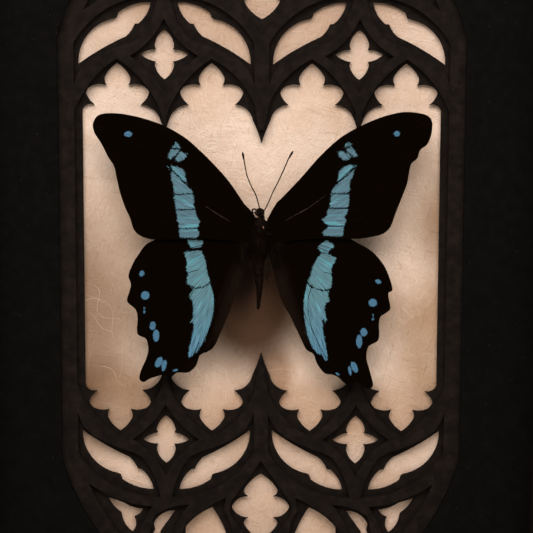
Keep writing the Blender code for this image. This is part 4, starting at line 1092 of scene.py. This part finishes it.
def makeAntenna(side):
    # thin jointed shaft that swells into a club: radius = shaft + club bump near the tip + small
    # rings, less a taper over the last of it
    path = throughPoints(antenna[side], 26)
    run = np.linspace(0, 1, len(path))
    club = np.exp(-((run - antenna["clubAt"]) / antenna["clubLong"]) ** 2)
    tip = np.clip((run - antenna["tipAt"]) / antenna["tipLong"], 0, 1)
    radius = (antenna["shaft"] + antenna["club"] * club + antenna["ring"]
              * np.sin(run * antenna["rings"]) - antenna["club"] * tip)
    depth = np.interp(run, [0, 0.15, 1], [11.4, 10.8, 10.8])
    addPiece("antenna_" + side + "_horn", [(*tubeAlong(path, radius, antenna["sides"], depth), 0)],
             [skins["antenna_horn"]], ["antenna_" + side])


makeBody()
makeBodyHair()
makeStage()
makeAntenna("left")
makeAntenna("right")
print("body and antennae made")


# studio: two softboxes in front, high on the left and the right, and three weak ones behind and
# at the sides; each is a direction from the aim, metres away, metres across, watts, spread
studio = {"sky": 0.22, "air": (1.0, 0.98, 0.95, 1.0), "floor": ("dedad2", "e4e1da"),
          "floorHalf": 4.0, "floorDrop": 0.0002}
aim = Vector((1.4, -1.1, 133.9)) / 1000
lights = [
    ("softbox_left", (-0.40, -1.0, 1.00), 0.46, 0.30, 0.77, 130),
    ("softbox_right", (0.36, -1.0, 0.88), 0.50, 0.30, 0.61, 130),
    ("softbox_behind", (0.4, 1.0, 0.7), 1.3, 0.8, 3.6, 150),
    ("softbox_side_left", (-1.0, 0.25, 0.5), 1.2, 0.6, 1.8, 150),
    ("softbox_side_right", (1.0, 0.25, 0.6), 1.2, 0.6, 1.8, 150)]


def makeStudio():
    # a flat floor just under the frame, lamps turned to the aim, and a faint even sky
    floor = bpy.data.meshes.new("floor")
    half, low = studio["floorHalf"], -studio["floorDrop"]
    floor.from_pydata([(-half, -half, low), (half, -half, low), (half, half, low),
                       (-half, half, low)], [], [(0, 1, 2, 3)])
    floor.materials.append(makeTwoTone("floor_paint", 0.7, 0.3, 0.0, *studio["floor"],
                                       (120, 120, 120), 0.01))
    ground = bpy.data.objects.new("floor", floor)
    bpy.context.scene.collection.objects.link(ground)
    for name, direction, away, size, power, spread in lights:
        lamp = bpy.data.lights.new(name, "AREA")
        lamp.shape, lamp.size, lamp.energy = "DISK", size, power
        lamp.spread = math.radians(spread)
        holder = bpy.data.objects.new(name, lamp)
        holder.location = aim + Vector(direction).normalized() * away
        holder.rotation_euler = (aim - holder.location).to_track_quat("-Z", "Y").to_euler()
        holder.visible_camera = False
        bpy.context.scene.collection.objects.link(holder)
    world = bpy.data.worlds.new("studio")
    world.use_nodes = True
    background = world.node_tree.nodes["Background"]
    background.inputs[0].default_value = studio["air"]
    background.inputs[1].default_value = studio["sky"]
    bpy.context.scene.world = world
    bpy.context.scene.view_settings.view_transform = "Standard"


view = {"sensor": 36.0, "lens": 126.5, "nearest": 0.01, "away": 0.5, "lift": 8.5, "roll": 0.18}


def makeCamera():
    # eye = aim + away (0, -cos lift, sin lift), looking back at the aim
    lens = bpy.data.cameras.new("camera")
    lens.sensor_width, lens.lens, lens.clip_start = view["sensor"], view["lens"], view["nearest"]
    camera = bpy.data.objects.new("camera", lens)
    lift = math.radians(view["lift"])
    eye = aim + view["away"] * Vector((0.0, -math.cos(lift), math.sin(lift)))
    turn = (aim - eye).to_track_quat("-Z", "Y").to_matrix().to_4x4()
    roll = Matrix.Rotation(math.radians(view["roll"]), 4, "Z")
    camera.matrix_world = Matrix.Translation(eye) @ turn @ roll
    bpy.context.scene.collection.objects.link(camera)
    bpy.context.scene.camera = camera


makeStudio()
makeCamera()
print("studio lit")
